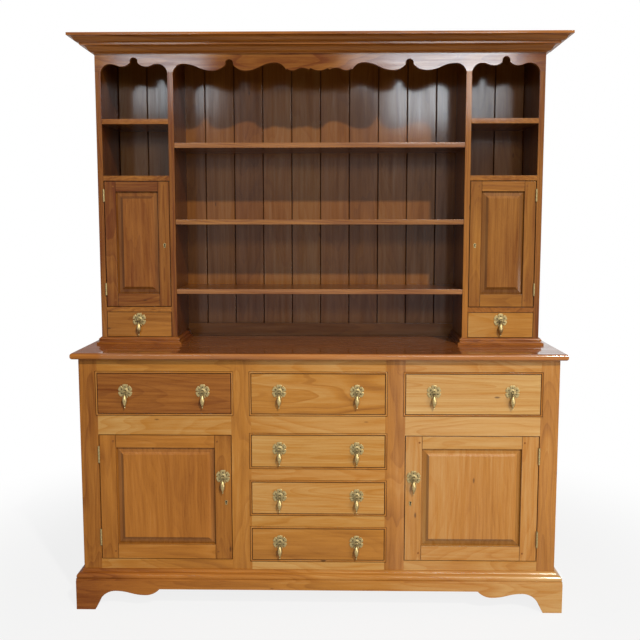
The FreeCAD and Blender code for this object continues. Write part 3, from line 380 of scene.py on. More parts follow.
def make_hole_shadow():
    """Painted shadow for the dark inside of a keyhole."""
    material, shader, shade = new_material("keyhole_shadow")
    place = shade.node("ShaderNodeTexCoord", {}, {}, output="Object")
    dust = shade.noise(place, 900.0)
    feed(shader, shade.mixed(dust, (0.010, 0.007, 0.005, 1), (0.030, 0.020, 0.012, 1)), "Base Color")
    shader.inputs["Roughness"].default_value = 0.9
    shader.inputs["Specular IOR Level"].default_value = 0.1
    return material


MATERIALS = {}
# Shares of red, green and blue that the darker stains leave of the cherry
WORKTOP_STAIN = (0.62, 0.50, 0.60)
PLANK_STAIN = (0.50, 0.42, 0.38)
# Shares of the lining's colour in its dark, middle and light grain
LINING_SHARES = (0.55, 1.0, 1.25)


def make_materials():
    """Mix every finish once, from the colours that are set."""
    finish = bpy.context.scene.dresser_finish
    grime_and_shade = tuple(finish.grime_and_shade)
    cherry = (tuple(finish.russet), tuple(finish.amber), tuple(finish.honey))
    top = [shaded(tone, WORKTOP_STAIN) for tone in cherry]
    planks = [shaded(tone, PLANK_STAIN) for tone in cherry]
    lining = [shaded(finish.lining, (share, share, share)) for share in LINING_SHARES]
    MATERIALS["cherry"] = wood("polished_cherry", cherry, grime_and_shade, finish.polish, roughness=0.38)
    MATERIALS["rack"] = wood("rack_cherry", cherry, grime_and_shade, polish=0.95, roughness=0.34)
    MATERIALS["worktop"] = wood("worktop_cherry", top, grime_and_shade, polish=0.9, roughness=0.30, coat_roughness=0.04)
    MATERIALS["back_boards"] = wood("plank_cherry", planks, grime_and_shade, polish=0.55, roughness=0.34)
    MATERIALS["drawer_wood"] = wood("drawer_lining", lining, grime_and_shade, polish=0.0, roughness=0.62)
    MATERIALS["brass"] = make_brass(finish)
    MATERIALS["hole"] = make_hole_shadow()


# Modelling by hand, in code

def activate(*items):
    """Select these objects alone and make the last one active."""
    bpy.ops.object.select_all(action="DESELECT")
    for item in items:
        item.select_set(True)
    bpy.context.view_layer.objects.active = items[-1]


def enter(*items):
    """Edit these objects with everything in them selected."""
    activate(*items)
    bpy.ops.object.mode_set(mode="EDIT")
    bpy.ops.mesh.select_all(action="SELECT")


def leave():
    """Back to object mode."""
    bpy.ops.object.mode_set(mode="OBJECT")


def pick(item, kind, test):
    """In edit mode, select the vertices, edges or faces that pass a test."""
    bpy.ops.mesh.select_mode(type=kind)
    bpy.ops.mesh.select_all(action="DESELECT")
    shape = bmesh.from_edit_mesh(item.data)
    elements = {"VERT": shape.verts, "EDGE": shape.edges, "FACE": shape.faces}[kind]
    found = [element for element in elements if test(element)]
    for element in found:
        element.select_set(True)
    bmesh.update_edit_mesh(item.data)
    if not found:
        raise RuntimeError(f"{item.name}: nothing to select")


def add_primitive(adder, **settings):
    """A new primitive, the only thing selected, with its place and turn put into its mesh."""
    bpy.ops.object.select_all(action="DESELECT")
    adder(**settings)
    item = bpy.context.view_layer.objects.active
    bpy.ops.object.transform_apply(location=True, rotation=True, scale=True)
    return item


def apply_modifier(item, kind, **settings):
    """Add a modifier, set it and apply it."""
    modifier = item.modifiers.new(kind.lower(), kind)
    for name, setting in settings.items():
        setattr(modifier, name, setting)
    activate(item)
    bpy.ops.object.modifier_apply(modifier=modifier.name)


def cut_away(item, cutter):
    """Take the form of a cutter out of a piece."""
    apply_modifier(item, "BOOLEAN", object=cutter, operation="DIFFERENCE", solver="EXACT")


def ease(item, width, segments=2, angle=35):
    """Round the sharp edges of a piece."""
    apply_modifier(item, "BEVEL", width=width, segments=segments, limit_method="ANGLE",
                   angle_limit=math.radians(angle), use_clamp_overlap=True, miter_outer="MITER_ARC")


def join(items, name):
    """One object from several."""
    activate(*items)
    if len(items) > 1:
        bpy.ops.object.join()
    joined = bpy.context.view_layer.objects.active
    joined.name = name
    joined.data.name = name
    return joined


def copy_to(model, places, name):
    """Copies of a model at several places, as one mesh of their own."""
    copies = []
    for place in places:
        copy = model.copy()
        copy.data = model.data.copy()
        copy.location = place
        bpy.context.scene.collection.objects.link(copy)
        copies.append(copy)
    activate(*copies)
    bpy.ops.object.transform_apply(location=True, rotation=False, scale=False)
    return join(copies, name)


def discard(*models):
    """Take away models that were only copied from or cut with."""
    activate(*models)
    bpy.ops.object.delete()


def settle(item, body, nodes=()):
    """Put a finished piece on its body, shaded smooth, in the place of its CAD nodes."""
    activate(item)
    bpy.ops.object.transform_apply(location=True, rotation=True, scale=True)
    bpy.ops.object.shade_smooth_by_angle(angle=SMOOTH_ANGLE)
    apply_modifier(item, "WEIGHTED_NORMAL", keep_sharp=True)
    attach(item, body)
    if nodes:
        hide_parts(*nodes)


def object_of(name, points, faces):
    """A new object from points and faces."""
    mesh = bpy.data.meshes.new(name)
    mesh.from_pydata(points, (), faces)
    item = bpy.data.objects.new(name, mesh)
    bpy.context.scene.collection.objects.link(item)
    return item


def solids_of(node):
    """The triangles of each solid of a CAD node.

    They come one solid after the other, and a solid is whole as soon as each of its
    edges has been met from both sides.
    """
    mesh = frame["nodes"][node].data
    places = [tuple(round(part, 6) for part in point.co) for point in mesh.vertices]
    waiting = set()
    solid = []
    for face in mesh.polygons:
        corners = [places[index] for index in face.vertices]
        solid.append(corners)
        for edge in zip(corners, corners[1:] + corners[:1]):
            if edge[::-1] in waiting:
                waiting.remove(edge[::-1])
            else:
                waiting.add(edge)
        if not waiting:
            yield solid
            solid = []


def box_of(solid):
    """Lowest and highest corner of a solid."""
    points = np.array([corner for face in solid for corner in face])
    return Vector(points.min(0)), Vector(points.max(0))


def ends_of(board):
    """Lowest and highest corner of a board."""
    return Vector(board.bound_box[0]), Vector(board.bound_box[6])


def copy_solids(node, solids):
    """Mesh copies of CAD solids, their corners merged and their flat faces whole."""
    copies = []
    for solid in solids:
        points = sorted({corner for face in solid for corner in face})
        index = {point: place for place, point in enumerate(points)}
        faces = [[index[corner] for corner in face] for face in solid if len(set(face)) == 3]
        copies.append(object_of(f"{node}_board", points, faces))
    enter(*copies)
    bpy.ops.mesh.dissolve_limited(angle_limit=math.radians(1))
    leave()
    return copies


def saw(board, axis, place):
    """Cut the faces of a board across an axis, so that its finish or form can change there."""
    normal = [float(side == axis) for side in (X, Y, Z)]
    enter(board)
    bpy.ops.mesh.bisect(plane_co=[part * place for part in normal], plane_no=normal)
    leave()


def saw_evenly(board, count):
    """Cut the faces of a long board at even steps from left to right."""
    low, high = ends_of(board)
    for step in range(1, count):
        saw(board, X, low.x + (high.x - low.x) * step / count)


# Grain

def asked(value, where):
    """A value, or what a function gives for a place or face."""
    return value(where) if callable(value) else value


class Timber:
    """Lays grain on boards, each cut from another place in the log."""

    def __init__(self, seed):
        self.draw = random.Random(seed)

    def lay(self, board, tone=0.0, redness=0.0, along=None, spread=0.05, figure=1.0,
            parts=0, dirt=0.0, waxed=1.0):
        """Write a board's grain, finish, old wax with painted shade, and polish.

        tone is how light the board is, redness how red and waxed how thick its polish: numbers,
        or functions of a place on it. along is the axis of the grain, its longest side where
        none is given, or a function of a face's middle. parts, a function of a face's middle
        too, numbers the boards that one piece was glued up from. dirt is how much old
        wax and painted shade darken it, a number or a function of a face. spread is how far the
        boards may differ in tone, and figure how strong the rings show.
        """
        mesh = board.data
        points = np.empty(len(mesh.vertices) * 3)
        mesh.vertices.foreach_get("co", points)
        points = points.reshape(-1, 3)
        size = points.max(0) - points.min(0)
        middle = (points.max(0) + points.min(0)) / 2
        longest = int(np.argmax(size))
        cuts = {}
        grain = np.zeros((len(mesh.loops), 3))
        finish = np.zeros((len(mesh.loops), 3))
        darkening = np.zeros(len(mesh.loops))
        wax = np.ones(len(mesh.loops))
        for face in mesh.polygons:
            axis = longest if along is None else asked(along, face.center)
            part = asked(parts, face.center)
            if part not in cuts:
                cuts[part] = self.cut(size, spread)
            shift, stain, warmth = cuts[part]
            darkening[list(face.loop_indices)] = asked(dirt, face)
            thin, wide = sorted((side for side in (X, Y, Z) if side != axis), key=lambda side: size[side])
            for loop in face.loop_indices:
                place = points[mesh.loops[loop].vertex_index]
                local = place - middle
                grain[loop] = (local[axis] + shift[0], local[wide] + shift[1], local[thin] + shift[2])
                finish[loop] = (asked(tone, place) + stain, asked(redness, place) + warmth, figure)
                wax[loop] = asked(waxed, place)
        for name, values in (("grain", grain), ("finish", finish)):
            attribute = mesh.attributes.new(name, "FLOAT_VECTOR", "CORNER")
            attribute.data.foreach_set("vector", values.astype(np.float32).ravel())
        for name, values in (("dirt", darkening), ("waxed", wax)):
            attribute = mesh.attributes.new(name, "FLOAT", "CORNER")
            attribute.data.foreach_set("value", values.astype(np.float32))

    def cut(self, size, spread):
        """Where in the log a board comes from, and how it took the stain."""
        half_width = sorted(size)[1] / 2
        along = self.draw.uniform(-20, 20)
        across = self.draw.uniform(-1.2, 1.2) * half_width
        through = self.draw.uniform(0.03, 0.11)
        stain = self.draw.uniform(-spread, spread)
        warmth = self.draw.uniform(0, 0.25)
        return (along, across, through), stain, warmth


def straight(face):
    """How nearly a face looks along one of the axes, 1 where it does."""
    return max(abs(part) for part in face.normal)


def on_arris(face):
    """Whether a face belongs to the rounding of an edge."""
    return straight(face) < 0.99


# Woodwork

def finish_boards(node, boards, finish, body="cabinet"):
    """Join the boards of a node into the piece that stands for it."""
    for board in boards:
        if not board.data.materials:
            board.data.materials.append(MATERIALS[finish])
    piece = join(boards, f"{node}_woodwork")
    settle(piece, body, [node])


def plain_boards(node, finish, arris, seed, tone=0.0, redness=0.0, inside=None):
    """Boards and mouldings that keep their CAD form, with eased edges and laid grain.

    inside is a test for the faces that line the bays of the rack and share the planks' finish.
    """
    timber = Timber(seed)
    boards = copy_solids(node, solids_of(node))
    for board in boards:
        ease(board, arris)
        timber.lay(board, tone, redness)
        board.data.materials.append(MATERIALS[finish])
        if inside:
            board.data.materials.append(MATERIALS["back_boards"])
            for face in board.data.polygons:
                face.material_index = int(inside(face))
    finish_boards(node, boards, finish)


def lay_planks(node, seed, joint_side, waxed=1.0):
    """Upright planks with a V at every joint on the seen side; joint_side is -1 for the front."""
    woodwork = bpy.context.scene.dresser_woodwork
    timber = Timber(seed)
    boards = copy_solids(node, solids_of(node))
    for board in boards:
        low, high = ends_of(board)
        upright = high.z - low.z > high.x - low.x
        seen = low.y if joint_side < 0 else high.y

        def beside_next(edge):
            first, second = edge.verts
            on_seen_side = abs(first.co.y - seen) < LEVEL and abs(second.co.y - seen) < LEVEL
            return on_seen_side and abs(first.co.x - second.co.x) < SAME

        if upright:
            enter(board)
            pick(board, "EDGE", beside_next)
            bpy.ops.mesh.bevel(offset=woodwork.plank_joint, segments=1, affect="EDGES")
            leave()
        ease(board, woodwork.arris)

        # The V between two planks is darkened, most on its flank that faces left: a dark joint, and painted
        # shade on the flank turned from the light on the right
        def in_joint(face):
            if not upright or straight(face) > 0.98 or face.normal.y * joint_side < 0.2:
                return 0.0
            return 0.35 if face.normal.x > 0 else 0.9

        tone = 0.0 if upright else -0.1
        timber.lay(board, tone, redness=0.1, spread=0.10, figure=0.7, dirt=in_joint, waxed=waxed)
    finish_boards(node, boards, "back_boards")


# How thick the polish lies along the base: metres right of its middle, and share
BASE_POLISH = [(-0.35, 0.6), (-0.25, 1.0), (0.23, 1.0), (0.25, 3.3), (0.40, 2.6), (0.80, 2.2)]


def base_polish(place):
    """How much polish a place on the front of the base has."""
    return np.interp(place[X], *zip(*BASE_POLISH))


class Opening:
    """The opening in the front frame that a drawer fills."""

    def __init__(self, node):
        gap = bpy.context.scene.dresser_woodwork.drawer_gap
        low, high = box_of(next(solids_of(node)))
        self.left = low.x - gap
        self.right = high.x + gap
        self.bottom = low.z - gap
        self.top = high.z + gap
        self.face = low.y
        self.middle = Vector(((self.left + self.right) / 2, self.face, (self.bottom + self.top) / 2))

    def near(self, low, high, reach):
        """Whether a box comes within reach of the opening."""
        beside = low.x < self.right + reach and high.x > self.left - reach
        level = low.z < self.top + reach and high.z > self.bottom - reach
        return beside and level


BASE_DRAWERS = [
    "drawer_top_left", "drawer_top_centre", "drawer_top_right",
    "drawer_upper_centre", "drawer_middle_centre", "drawer_lower_centre",
]


def ring_round(opening, inner, outer, front, back, name):
    """A square ring round an opening, from one distance outside its edge to another."""
    bpy.ops.object.select_all(action="DESELECT")
    bpy.ops.mesh.primitive_plane_add(size=1, rotation=(math.pi / 2, 0, 0))
    ring = bpy.context.view_layer.objects.active
    ring.name = name
    width = opening.right - opening.left + 2 * outer
    height = opening.top - opening.bottom + 2 * outer
    ring.scale = (width, height, 1)
    ring.location = (opening.middle.x, front, opening.middle.z)
    bpy.ops.object.transform_apply(location=True, rotation=True, scale=True)
    enter(ring)
    bpy.ops.mesh.inset(thickness=outer - inner, depth=0)
    bpy.ops.mesh.delete(type="FACE")
    bpy.ops.mesh.select_all(action="SELECT")
    bpy.ops.mesh.extrude_region_move(TRANSFORM_OT_translate={"value": (0, back - front, 0)})
    bpy.ops.mesh.select_all(action="SELECT")
    bpy.ops.mesh.normals_make_consistent(inside=False)
    leave()
    return ring


# How light and how red each post and rail of the front frame is, in the order of their solids
POST_TONES = [(-0.05, 0.1), (-0.13, 0.3), (-0.04, 0.15), (-0.04, 0.1)]
RAIL_TONES = [
    (-0.03, 0.15), (0.12, 0.0), (0.08, 0.1),
    (0.13, 0.0), (0.13, 0.0), (0.28, 0.0),
    (0.02, 0.05), (0.22, 0.0), (0.14, 0.0),
    (0.08, 0.25), (0.12, 0.0),
]
# How far a cutter stands clear of what it cuts
CLEAR = 2 * MILLIMETRE


class DRESSER_OT_base_frame(bpy.types.Operator):
    """Front frame of the base, with a bead let in round every drawer"""

    bl_idname = "dresser.base_frame"
    bl_label = "Base frame and beads"

    def execute(self, context):
        woodwork = context.scene.dresser_woodwork
        timber = Timber(seed=11)
        openings = [Opening(node) for node in BASE_DRAWERS]
        self.fit_boards(openings, woodwork, timber)
        beads = [self.bead_round(opening, woodwork, timber) for opening in openings]
        settle(join(beads, "opening_beads"), "cabinet")
        return {"FINISHED"}

    def fit_boards(self, openings, woodwork, timber):
        """Posts and rails, grooved round the openings."""
        front = openings[0].face
        back = front + woodwork.bead_depth
        groove = woodwork.bead_width + woodwork.quirk_width
        cutters = [ring_round(opening, -CLEAR, groove, front - CLEAR, back, "groove") for opening in openings]

        # The faces sunk in the groove round each opening are darkened: old wax, and painted shade in the
        # groove
        def in_groove(face):
            sunk = face.center.y > front + 0.2 * MILLIMETRE
            beside = any(opening.near(face.center, face.center, groove + CLEAR) for opening in openings)
            return 0.55 if sunk and beside else 0.0

        for node, tones in (("base_posts", POST_TONES), ("base_rails", RAIL_TONES)):
            boards = copy_solids(node, solids_of(node))
            for board, (tone, redness) in zip(boards, tones):
                low, high = ends_of(board)
                for cutter, opening in zip(cutters, openings):
                    if opening.near(low, high, groove):
                        cut_away(board, cutter)
                ease(board, woodwork.arris * 0.6)
                timber.lay(board, tone, redness, spread=0.02, dirt=in_groove, waxed=base_polish)
            finish_boards(node, boards, "cherry")
        discard(*cutters)

    def bead_round(self, opening, woodwork, timber):
        """A rounded bead that lies in the groove round an opening."""
        front = opening.face
        bead = ring_round(opening, 0, woodwork.bead_width, front, front + woodwork.bead_depth, "bead")

        def front_corner(edge):
            in_front = all(abs(end.co.y - front) < LEVEL for end in edge.verts)
            depths = {round(face.calc_center_median().y, 5) for face in edge.link_faces}
            return in_front and len(depths) > 1

        enter(bead)
        pick(bead, "EDGE", front_corner)
        bpy.ops.mesh.bevel(offset=woodwork.bead_width * 0.42, segments=4, affect="EDGES")
        leave()

        def along(middle):
            return X if middle.z < opening.bottom or middle.z > opening.top else Z

        # The bead is darkened on its sides, most on the side towards the drawer: painted shade in the gap
        # round the drawer and in the quirk, with old wax
        def beside_gap(face):
            if abs(face.normal.y) > 0.6:
                return 0.05
            return 0.4 if face.normal.dot(face.center - opening.middle) > 0 else 1.0

        timber.lay(bead, tone=0.02, redness=0.35, along=along, dirt=beside_gap)
        bead.data.materials.append(MATERIALS["cherry"])
        return bead


class DRESSER_OT_base_carcass(bpy.types.Operator):
    """Sides, partitions, floor, back, shelves and runners of the base"""

    bl_idname = "dresser.base_carcass"
    bl_label = "Base carcass"

    def execute(self, context):
        woodwork = context.scene.dresser_woodwork
        plain_boards("base_sides", "cherry", woodwork.arris, seed=21, tone=-0.08, redness=0.3)
        plain_boards("base_partitions", "cherry", woodwork.arris, seed=22)
        plain_boards("base_floor", "cherry", woodwork.arris, seed=23)
        plain_boards("cupboard_shelves", "cherry", woodwork.arris, seed=24)
        plain_boards("drawer_runners", "drawer_wood", woodwork.arris, seed=25)
        lay_planks("base_back_boards", seed=26, joint_side=1)
        return {"FINISHED"}


class DRESSER_OT_plinth(bpy.types.Operator):
    """Plinth with bracket feet, and the moulding on it"""

    bl_idname = "dresser.plinth"
    bl_label = "Plinth"

    def execute(self, context):
        woodwork = context.scene.dresser_woodwork
        _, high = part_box("plinth")

        # The plinth is darker towards its left end and lighter towards its right: painted shade and light, as
        # if lit from the right; it is also redder towards the left
        def wear_and_shade(place):
            share = place[X] / high.x
            return 0.30 * share * abs(share)

        def reddened(place):
            return 0.2 + 0.8 * max(0.0, -place[X] / high.x)

        arrises = {"plinth": woodwork.shelf_arris, "plinth_moulding": woodwork.moulding_arris}
        for seed, (node, arris) in enumerate(arrises.items(), 31):
            timber = Timber(seed)
            boards = copy_solids(node, solids_of(node))
            saw_evenly(boards[0], count=8)
            for board in boards:
                ease(board, arris)
                timber.lay(board, wear_and_shade, reddened, waxed=base_polish)
            finish_boards(node, boards, "cherry")
        return {"FINISHED"}


# Shares of the worktop's depth at which its boards are glued together
WORKTOP_JOINTS = (0.36, 0.70)
# How far the worktop's dull end reaches in from the end of the rack's foot, and how far it fades
DULL_REACH = 80 * MILLIMETRE
DULL_FADE = 20 * MILLIMETRE


class DRESSER_OT_worktop(bpy.types.Operator):
    """Worktop glued up from three wide boards"""

    bl_idname = "dresser.worktop"
    bl_label = "Worktop"

    def execute(self, context):
        low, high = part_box("worktop")
        board, = copy_solids("worktop", solids_of("worktop"))
        joints = [low.y + (high.y - low.y) * share for share in WORKTOP_JOINTS]
        for joint in joints:
            saw(board, Y, joint)
        # the left end has lost most of its polish
        dull_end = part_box("rack_foot_moulding")[0].x + DULL_REACH
        for place in (dull_end - DULL_FADE, dull_end):
            saw(board, X, place)
        ease(board, 0.4 * MILLIMETRE)
        timber = Timber(seed=41)
        timber.lay(board, tone=-0.02, redness=0.75,
                   parts=lambda middle: sum(middle.y > joint for joint in joints),
                   waxed=lambda place: 1.0 if place[X] > dull_end - MILLIMETRE else 0.25)
        # The top takes the darker worktop finish and the edges the lighter, glossier rack finish: partly a
        # painted highlight on the rounded nosing
        board.data.materials.append(MATERIALS["worktop"])
        board.data.materials.append(MATERIALS["rack"])
        for face in board.data.polygons:
            face.material_index = int(abs(face.normal.z) < 0.8)
        finish_boards("worktop", [board], "worktop")
        return {"FINISHED"}


# How much polish is left along the frieze: metres right of its middle, and share
FRIEZE_POLISH = [
    (-0.79, 0.5), (-0.60, 0.75), (-0.43, 0.75), (-0.36, 0.2),
    (0.04, 0.2), (0.14, 0.8), (0.62, 1.0), (0.79, 0.5),
]


class DRESSER_OT_rack(bpy.types.Operator):
    """Uprights, shelves, planked back, frieze, cornice and foot moulding of the plate rack"""

    bl_idname = "dresser.rack"
    bl_label = "Plate rack"

    def execute(self, context):
        woodwork = context.scene.dresser_woodwork
        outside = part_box("rack_uprights")[1].x - MILLIMETRE
        foot_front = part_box("rack_foot_moulding")[0].y
        right_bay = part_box("door_rack_right")[0].x

        def lines_bay(face):
            return abs(face.normal.x) > 0.8 and abs(face.center.x) < outside

        def level(face):
            return abs(face.normal.z) > 0.8

        # The right divider beside the plates is lighter than the other uprights: a painted highlight for the
        # glare it catches
        def upright_tone(place):
            between_plates_and_door = 0 < place[X] < right_bay + MILLIMETRE
            return -0.14 if between_plates_and_door else -0.38

        # The runs of the foot moulding at the back of the plate bays are much darker: painted shade at the
        # foot of the bays, under the lowest shelf
        def foot_tone(place):
            beside_plates = abs(place[X]) < right_bay
            return -0.62 if beside_plates and place[Y] > foot_front + 30 * MILLIMETRE else -0.26

        def plank_polish(place):
            return 0.65 if place[X] > right_bay else 1.0

        plain_boards("rack_uprights", "cherry", woodwork.arris,
                     seed=51, tone=upright_tone, redness=0.2, inside=lines_bay)
        plain_boards("rack_top_board", "cherry", woodwork.arris, seed=52)
        plain_boards("plate_shelves", "rack", woodwork.shelf_arris,
                     seed=53, tone=-0.27, redness=0.2, inside=level)
        plain_boards("side_bay_boards", "cherry", woodwork.arris,
                     seed=54, tone=-0.22, redness=0.3, inside=level)
        self.hang_frieze(woodwork.shelf_arris)
        plain_boards("cornice", "cherry", woodwork.moulding_arris, seed=56, tone=-0.14, redness=0.8)
        plain_boards("rack_foot_moulding", "cherry", woodwork.moulding_arris,
                     seed=57, tone=foot_tone, redness=0.7)
        lay_planks("rack_back_boards", seed=58, joint_side=-1, waxed=plank_polish)
        return {"FINISHED"}

    def hang_frieze(self, arris):
        """The scalloped frieze, its polish worn thin left of the middle."""
        board, = copy_solids("frieze", solids_of("frieze"))
        places, shares = zip(*FRIEZE_POLISH)
        saw_evenly(board, count=24)
        ease(board, arris)
        timber = Timber(seed=55)
        timber.lay(board, tone=-0.38, waxed=lambda place: np.interp(place[X], places, shares))
        finish_boards("frieze", [board], "rack")


# How light and how red each drawer front is, and how strong its figure; the lightness is partly
# painted light, the fronts on the left darker and those on the right lighter, as if lit from the right
DRAWER_LOOKS = {
    "top_left": (-0.24, 0.5, 0.6), "top_centre": (0.10, 0.0, 1.5), "top_right": (0.27, 0.0, 1.2),
    "upper_centre": (0.11, 0.0, 0.7), "middle_centre": (0.17, 0.0, 0.9), "lower_centre": (-0.04, 0.1, 0.5),
    "rack_left": (-0.14, 0.0, 0.7), "rack_right": (0.09, 0.0, 0.8),
}


class DRESSER_OT_drawers(bpy.types.Operator):
    """Drawers with cherry fronts and pale sides, backs and bottoms"""

    bl_idname = "dresser.drawers"
    bl_label = "Drawers"

    def execute(self, context):
        woodwork = context.scene.dresser_woodwork
        for number, (name, (tone, redness, figure)) in enumerate(DRAWER_LOOKS.items()):
            node = f"drawer_{name}"
            timber = Timber(61 + number)
            boards = copy_solids(node, solids_of(node))
            front, *lining = boards
            ease(front, woodwork.front_arris, segments=3)
            front.data.materials.append(MATERIALS["cherry"])
            # The rounded edges of each front are darkened: painted shade along the gap round the drawer, with
            # old wax
            timber.lay(front, tone, redness, spread=0.01, figure=figure,
                       dirt=lambda face: 0.85 if on_arris(face) else 0.0,
                       waxed=base_polish if node in BASE_DRAWERS else 1.0)
            for board in lining:
                ease(board, woodwork.arris)
                board.data.materials.append(MATERIALS["drawer_wood"])
                timber.lay(board, figure=0.5)
            finish_boards(node, boards, "drawer_wood", node)
        return {"FINISHED"}


# How light each door's left stile, right stile, bottom rail, top rail and panel are, and how
# red the whole door is; the lightness is partly painted light, the left doors darker and the
# right ones lighter, as if lit from the right
DOOR_TONES = {
    "base_left": (-0.13, -0.14, -0.05, -0.02, -0.08, 0.3),
    "base_right": (0.06, 0.04, 0.12, 0.10, 0.04, 0.0),
    "rack_left": (-0.40, -0.28, -0.36, -0.44, -0.30, 0.2),
    "rack_right": (-0.20, -0.22, -0.18, -0.16, -0.27, 0.05),
}
# Width of the sloping shoulder round a raised field
SHOULDER = 9 * MILLIMETRE


class DRESSER_OT_doors(bpy.types.Operator):
    """Framed doors with raised panels, and the pegs in their joints"""

    bl_idname = "dresser.doors"
    bl_label = "Doors"

    def execute(self, context):
        woodwork = context.scene.dresser_woodwork
        for number, (name, (*tones, panel_tone, redness)) in enumerate(DOOR_TONES.items()):
            node = f"door_{name}"
            timber = Timber(71 + number)
            boards = copy_solids(node, solids_of(node))
            *members, panel = boards
            middle = sum(ends_of(panel), Vector()) / 2
            field = self.cut_panel(panel, middle)
            # Only the left door of the rack gets painted shade on the top shoulder of its field
            top_shade = 0.5 if name == "rack_left" else 0.0
            waxed = base_polish if name.startswith("base") else 1.0
            for board, tone in zip(members, tones):
                ease(board, woodwork.front_arris, segments=3)
                # The rounded edges of the stiles and rails are darkened: painted shade along the gaps, with
                # old wax
                timber.lay(board, tone, redness, spread=0.03, figure=0.8, waxed=waxed,
                           dirt=lambda face: 0.65 if on_arris(face) else 0.0)
            ease(panel, woodwork.panel_arris, segments=3)
            timber.lay(panel, panel_tone, redness + 0.1, along=Z, spread=0.03, figure=0.45,
                       waxed=lambda place: asked(waxed, place) if self.on_field(place, field) else 1.0,
                       dirt=lambda face: self.panel_shade(face, field, top_shade),
                       parts=lambda place: int(name == "base_right" and place.x > middle.x))
            finish_boards(node, boards, "cherry", node)
            self.add_pegs(node, woodwork.peg_diameter / 2)
        return {"FINISHED"}

    def cut_panel(self, panel, middle):
        """Part a panel in the middle, and ease the step round its field to a sloping shoulder.

        Gives the lowest and highest corner of the field.
        """
        field = min(panel.data.polygons, key=lambda face: face.center.y)
        corners = np.array([panel.data.vertices[index].co for index in field.vertices])
        low, high = Vector(corners.min(0)), Vector(corners.max(0))
        saw(panel, X, middle.x)
        for axis in (X, Z):
            saw(panel, axis, low[axis] - SHOULDER)
            saw(panel, axis, high[axis] + SHOULDER)

        def below_step(point):
            beside = low.x - LEVEL < point.co.x < high.x + LEVEL
            level = low.z - LEVEL < point.co.z < high.z + LEVEL
            return beside and level and LEVEL < point.co.y - low.y < 3 * MILLIMETRE

        enter(panel)
        pick(panel, "VERT", below_step)
        bpy.ops.transform.resize(value=(1, 0, 1), center_override=low)
        bpy.ops.mesh.select_all(action="SELECT")
        bpy.ops.mesh.remove_doubles(threshold=LEVEL)
        # the mitres and the foot of the shoulder stay crisp
        pick(panel, "EDGE", lambda edge: math.radians(3) < edge.calc_face_angle(0) < math.radians(35))
        bpy.ops.mesh.mark_sharp()
        leave()
        return low, high

    def on_field(self, place, field):
        """Whether a place lies on the raised field of a panel."""
        low, high = field
        return all(low[side] - MILLIMETRE < place[side] < high[side] + MILLIMETRE for side in (X, Z))

    def panel_shade(self, face, field, top_shade):
        """Painted shade on the slopes of a raised panel, most where they face down, and on the shoulder round
        its field.
        """
        low, high = field
        if abs(face.normal.y) > 0.995:
            return 0.0
        beside = low.x - SHOULDER < face.center.x < high.x + SHOULDER
        level = low.z - SHOULDER < face.center.z < high.z + SHOULDER
        # the shoulder is shaded most on its left and lower sides, little on its right, and on its top as much
        # as top_shade gives
        if beside and level:
            if face.normal.z > 0.1:
                return top_shade
            return 0.1 if face.normal.x > 0.1 else 0.5
        return 0.32 - 0.5 * face.normal.z

    def add_pegs(self, node, radius):
        """A peg through each joint of stile and rail, standing a hair proud."""
        low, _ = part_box(node)
        left, right, foot, head = [box_of(solid) for solid in list(solids_of(node))[:4]]
        proud = 0.35 * MILLIMETRE
        length = 3 * MILLIMETRE
        peg = add_primitive(bpy.ops.mesh.primitive_cylinder_add, vertices=20, radius=radius,
                            depth=length, rotation=(math.pi / 2, 0, 0))
        ease(peg, 0.3 * MILLIMETRE)
        timber = Timber(seed=81)
        timber.lay(peg, tone=-0.30, redness=0.3, along=Y, dirt=lambda face: 0.5 if on_arris(face) else 0.1)
        peg.data.materials.append(MATERIALS["cherry"])
        places = [
            Vector((x, low.y - proud + length / 2, (rail[0].z + rail[1].z) / 2))
            for x in (left[1].x - 2.6 * radius, right[0].x + 2.6 * radius)
            for rail in (foot, head)
        ]
        settle(copy_to(peg, places, f"{node}_pegs"), node)
        discard(peg)


# Brass

def mark_hollow_and_shade(item, depth_of):
    """Write how much patina in the hollows, and painted shade, each point of a brass piece carries, from 0 to
    1.
    """
    attribute = item.data.attributes.new("hollow", "FLOAT", "POINT")
    for point, entry in zip(item.data.vertices, attribute.data):
        entry.value = min(1.0, max(0.0, depth_of(point.co)))


def lathe(name, profile, axis, steps=32):
    """Draw a profile of (radius, place along the axis) points and spin it round that axis."""
    direction = Vector([float(side == axis) for side in (X, Y, Z)])
    points = [Vector((radius, 0, 0)) + direction * level for radius, level in profile]
    item = add_primitive(bpy.ops.mesh.primitive_plane_add, size=MILLIMETRE)
    item.name = name
    enter(item)
    bpy.ops.mesh.select_mode(type="VERT")
    bpy.ops.mesh.merge(type="CENTER")
    bpy.ops.transform.translate(value=points[0])
    for start, end in zip(points, points[1:]):
        bpy.ops.mesh.extrude_region_move(TRANSFORM_OT_translate={"value": end - start})
    bpy.ops.mesh.select_all(action="SELECT")
    bpy.ops.mesh.spin(steps=steps, angle=2 * math.pi, center=(0, 0, 0), axis=direction)
    bpy.ops.mesh.select_all(action="SELECT")
    bpy.ops.mesh.remove_doubles(threshold=SAME)
    bpy.ops.mesh.normals_make_consistent(inside=False)
    leave()
    return item


PETALS = 6
# Corners of the outline along each petal, and how far those nearest to a gap are drawn in
PETAL_CORNERS = 20
GAP_SHARES = {0: 0.58, 1: 0.78, 2: 0.945, 3: 0.985}
# Shares of the reach: how far out the holes at the petals' roots lie, and their radius
HOLES_OUT = 0.62
HOLE_RADIUS = 0.085


def steps_from_gap(place):
    """How many corners of the outline lie between a place on it and the nearest gap."""
    turn = math.atan2(place.x, place.z) / (2 * math.pi) * PETALS * PETAL_CORNERS
    step = round(turn - PETAL_CORNERS / 2) % PETAL_CORNERS
    return min(step, PETAL_CORNERS - step)


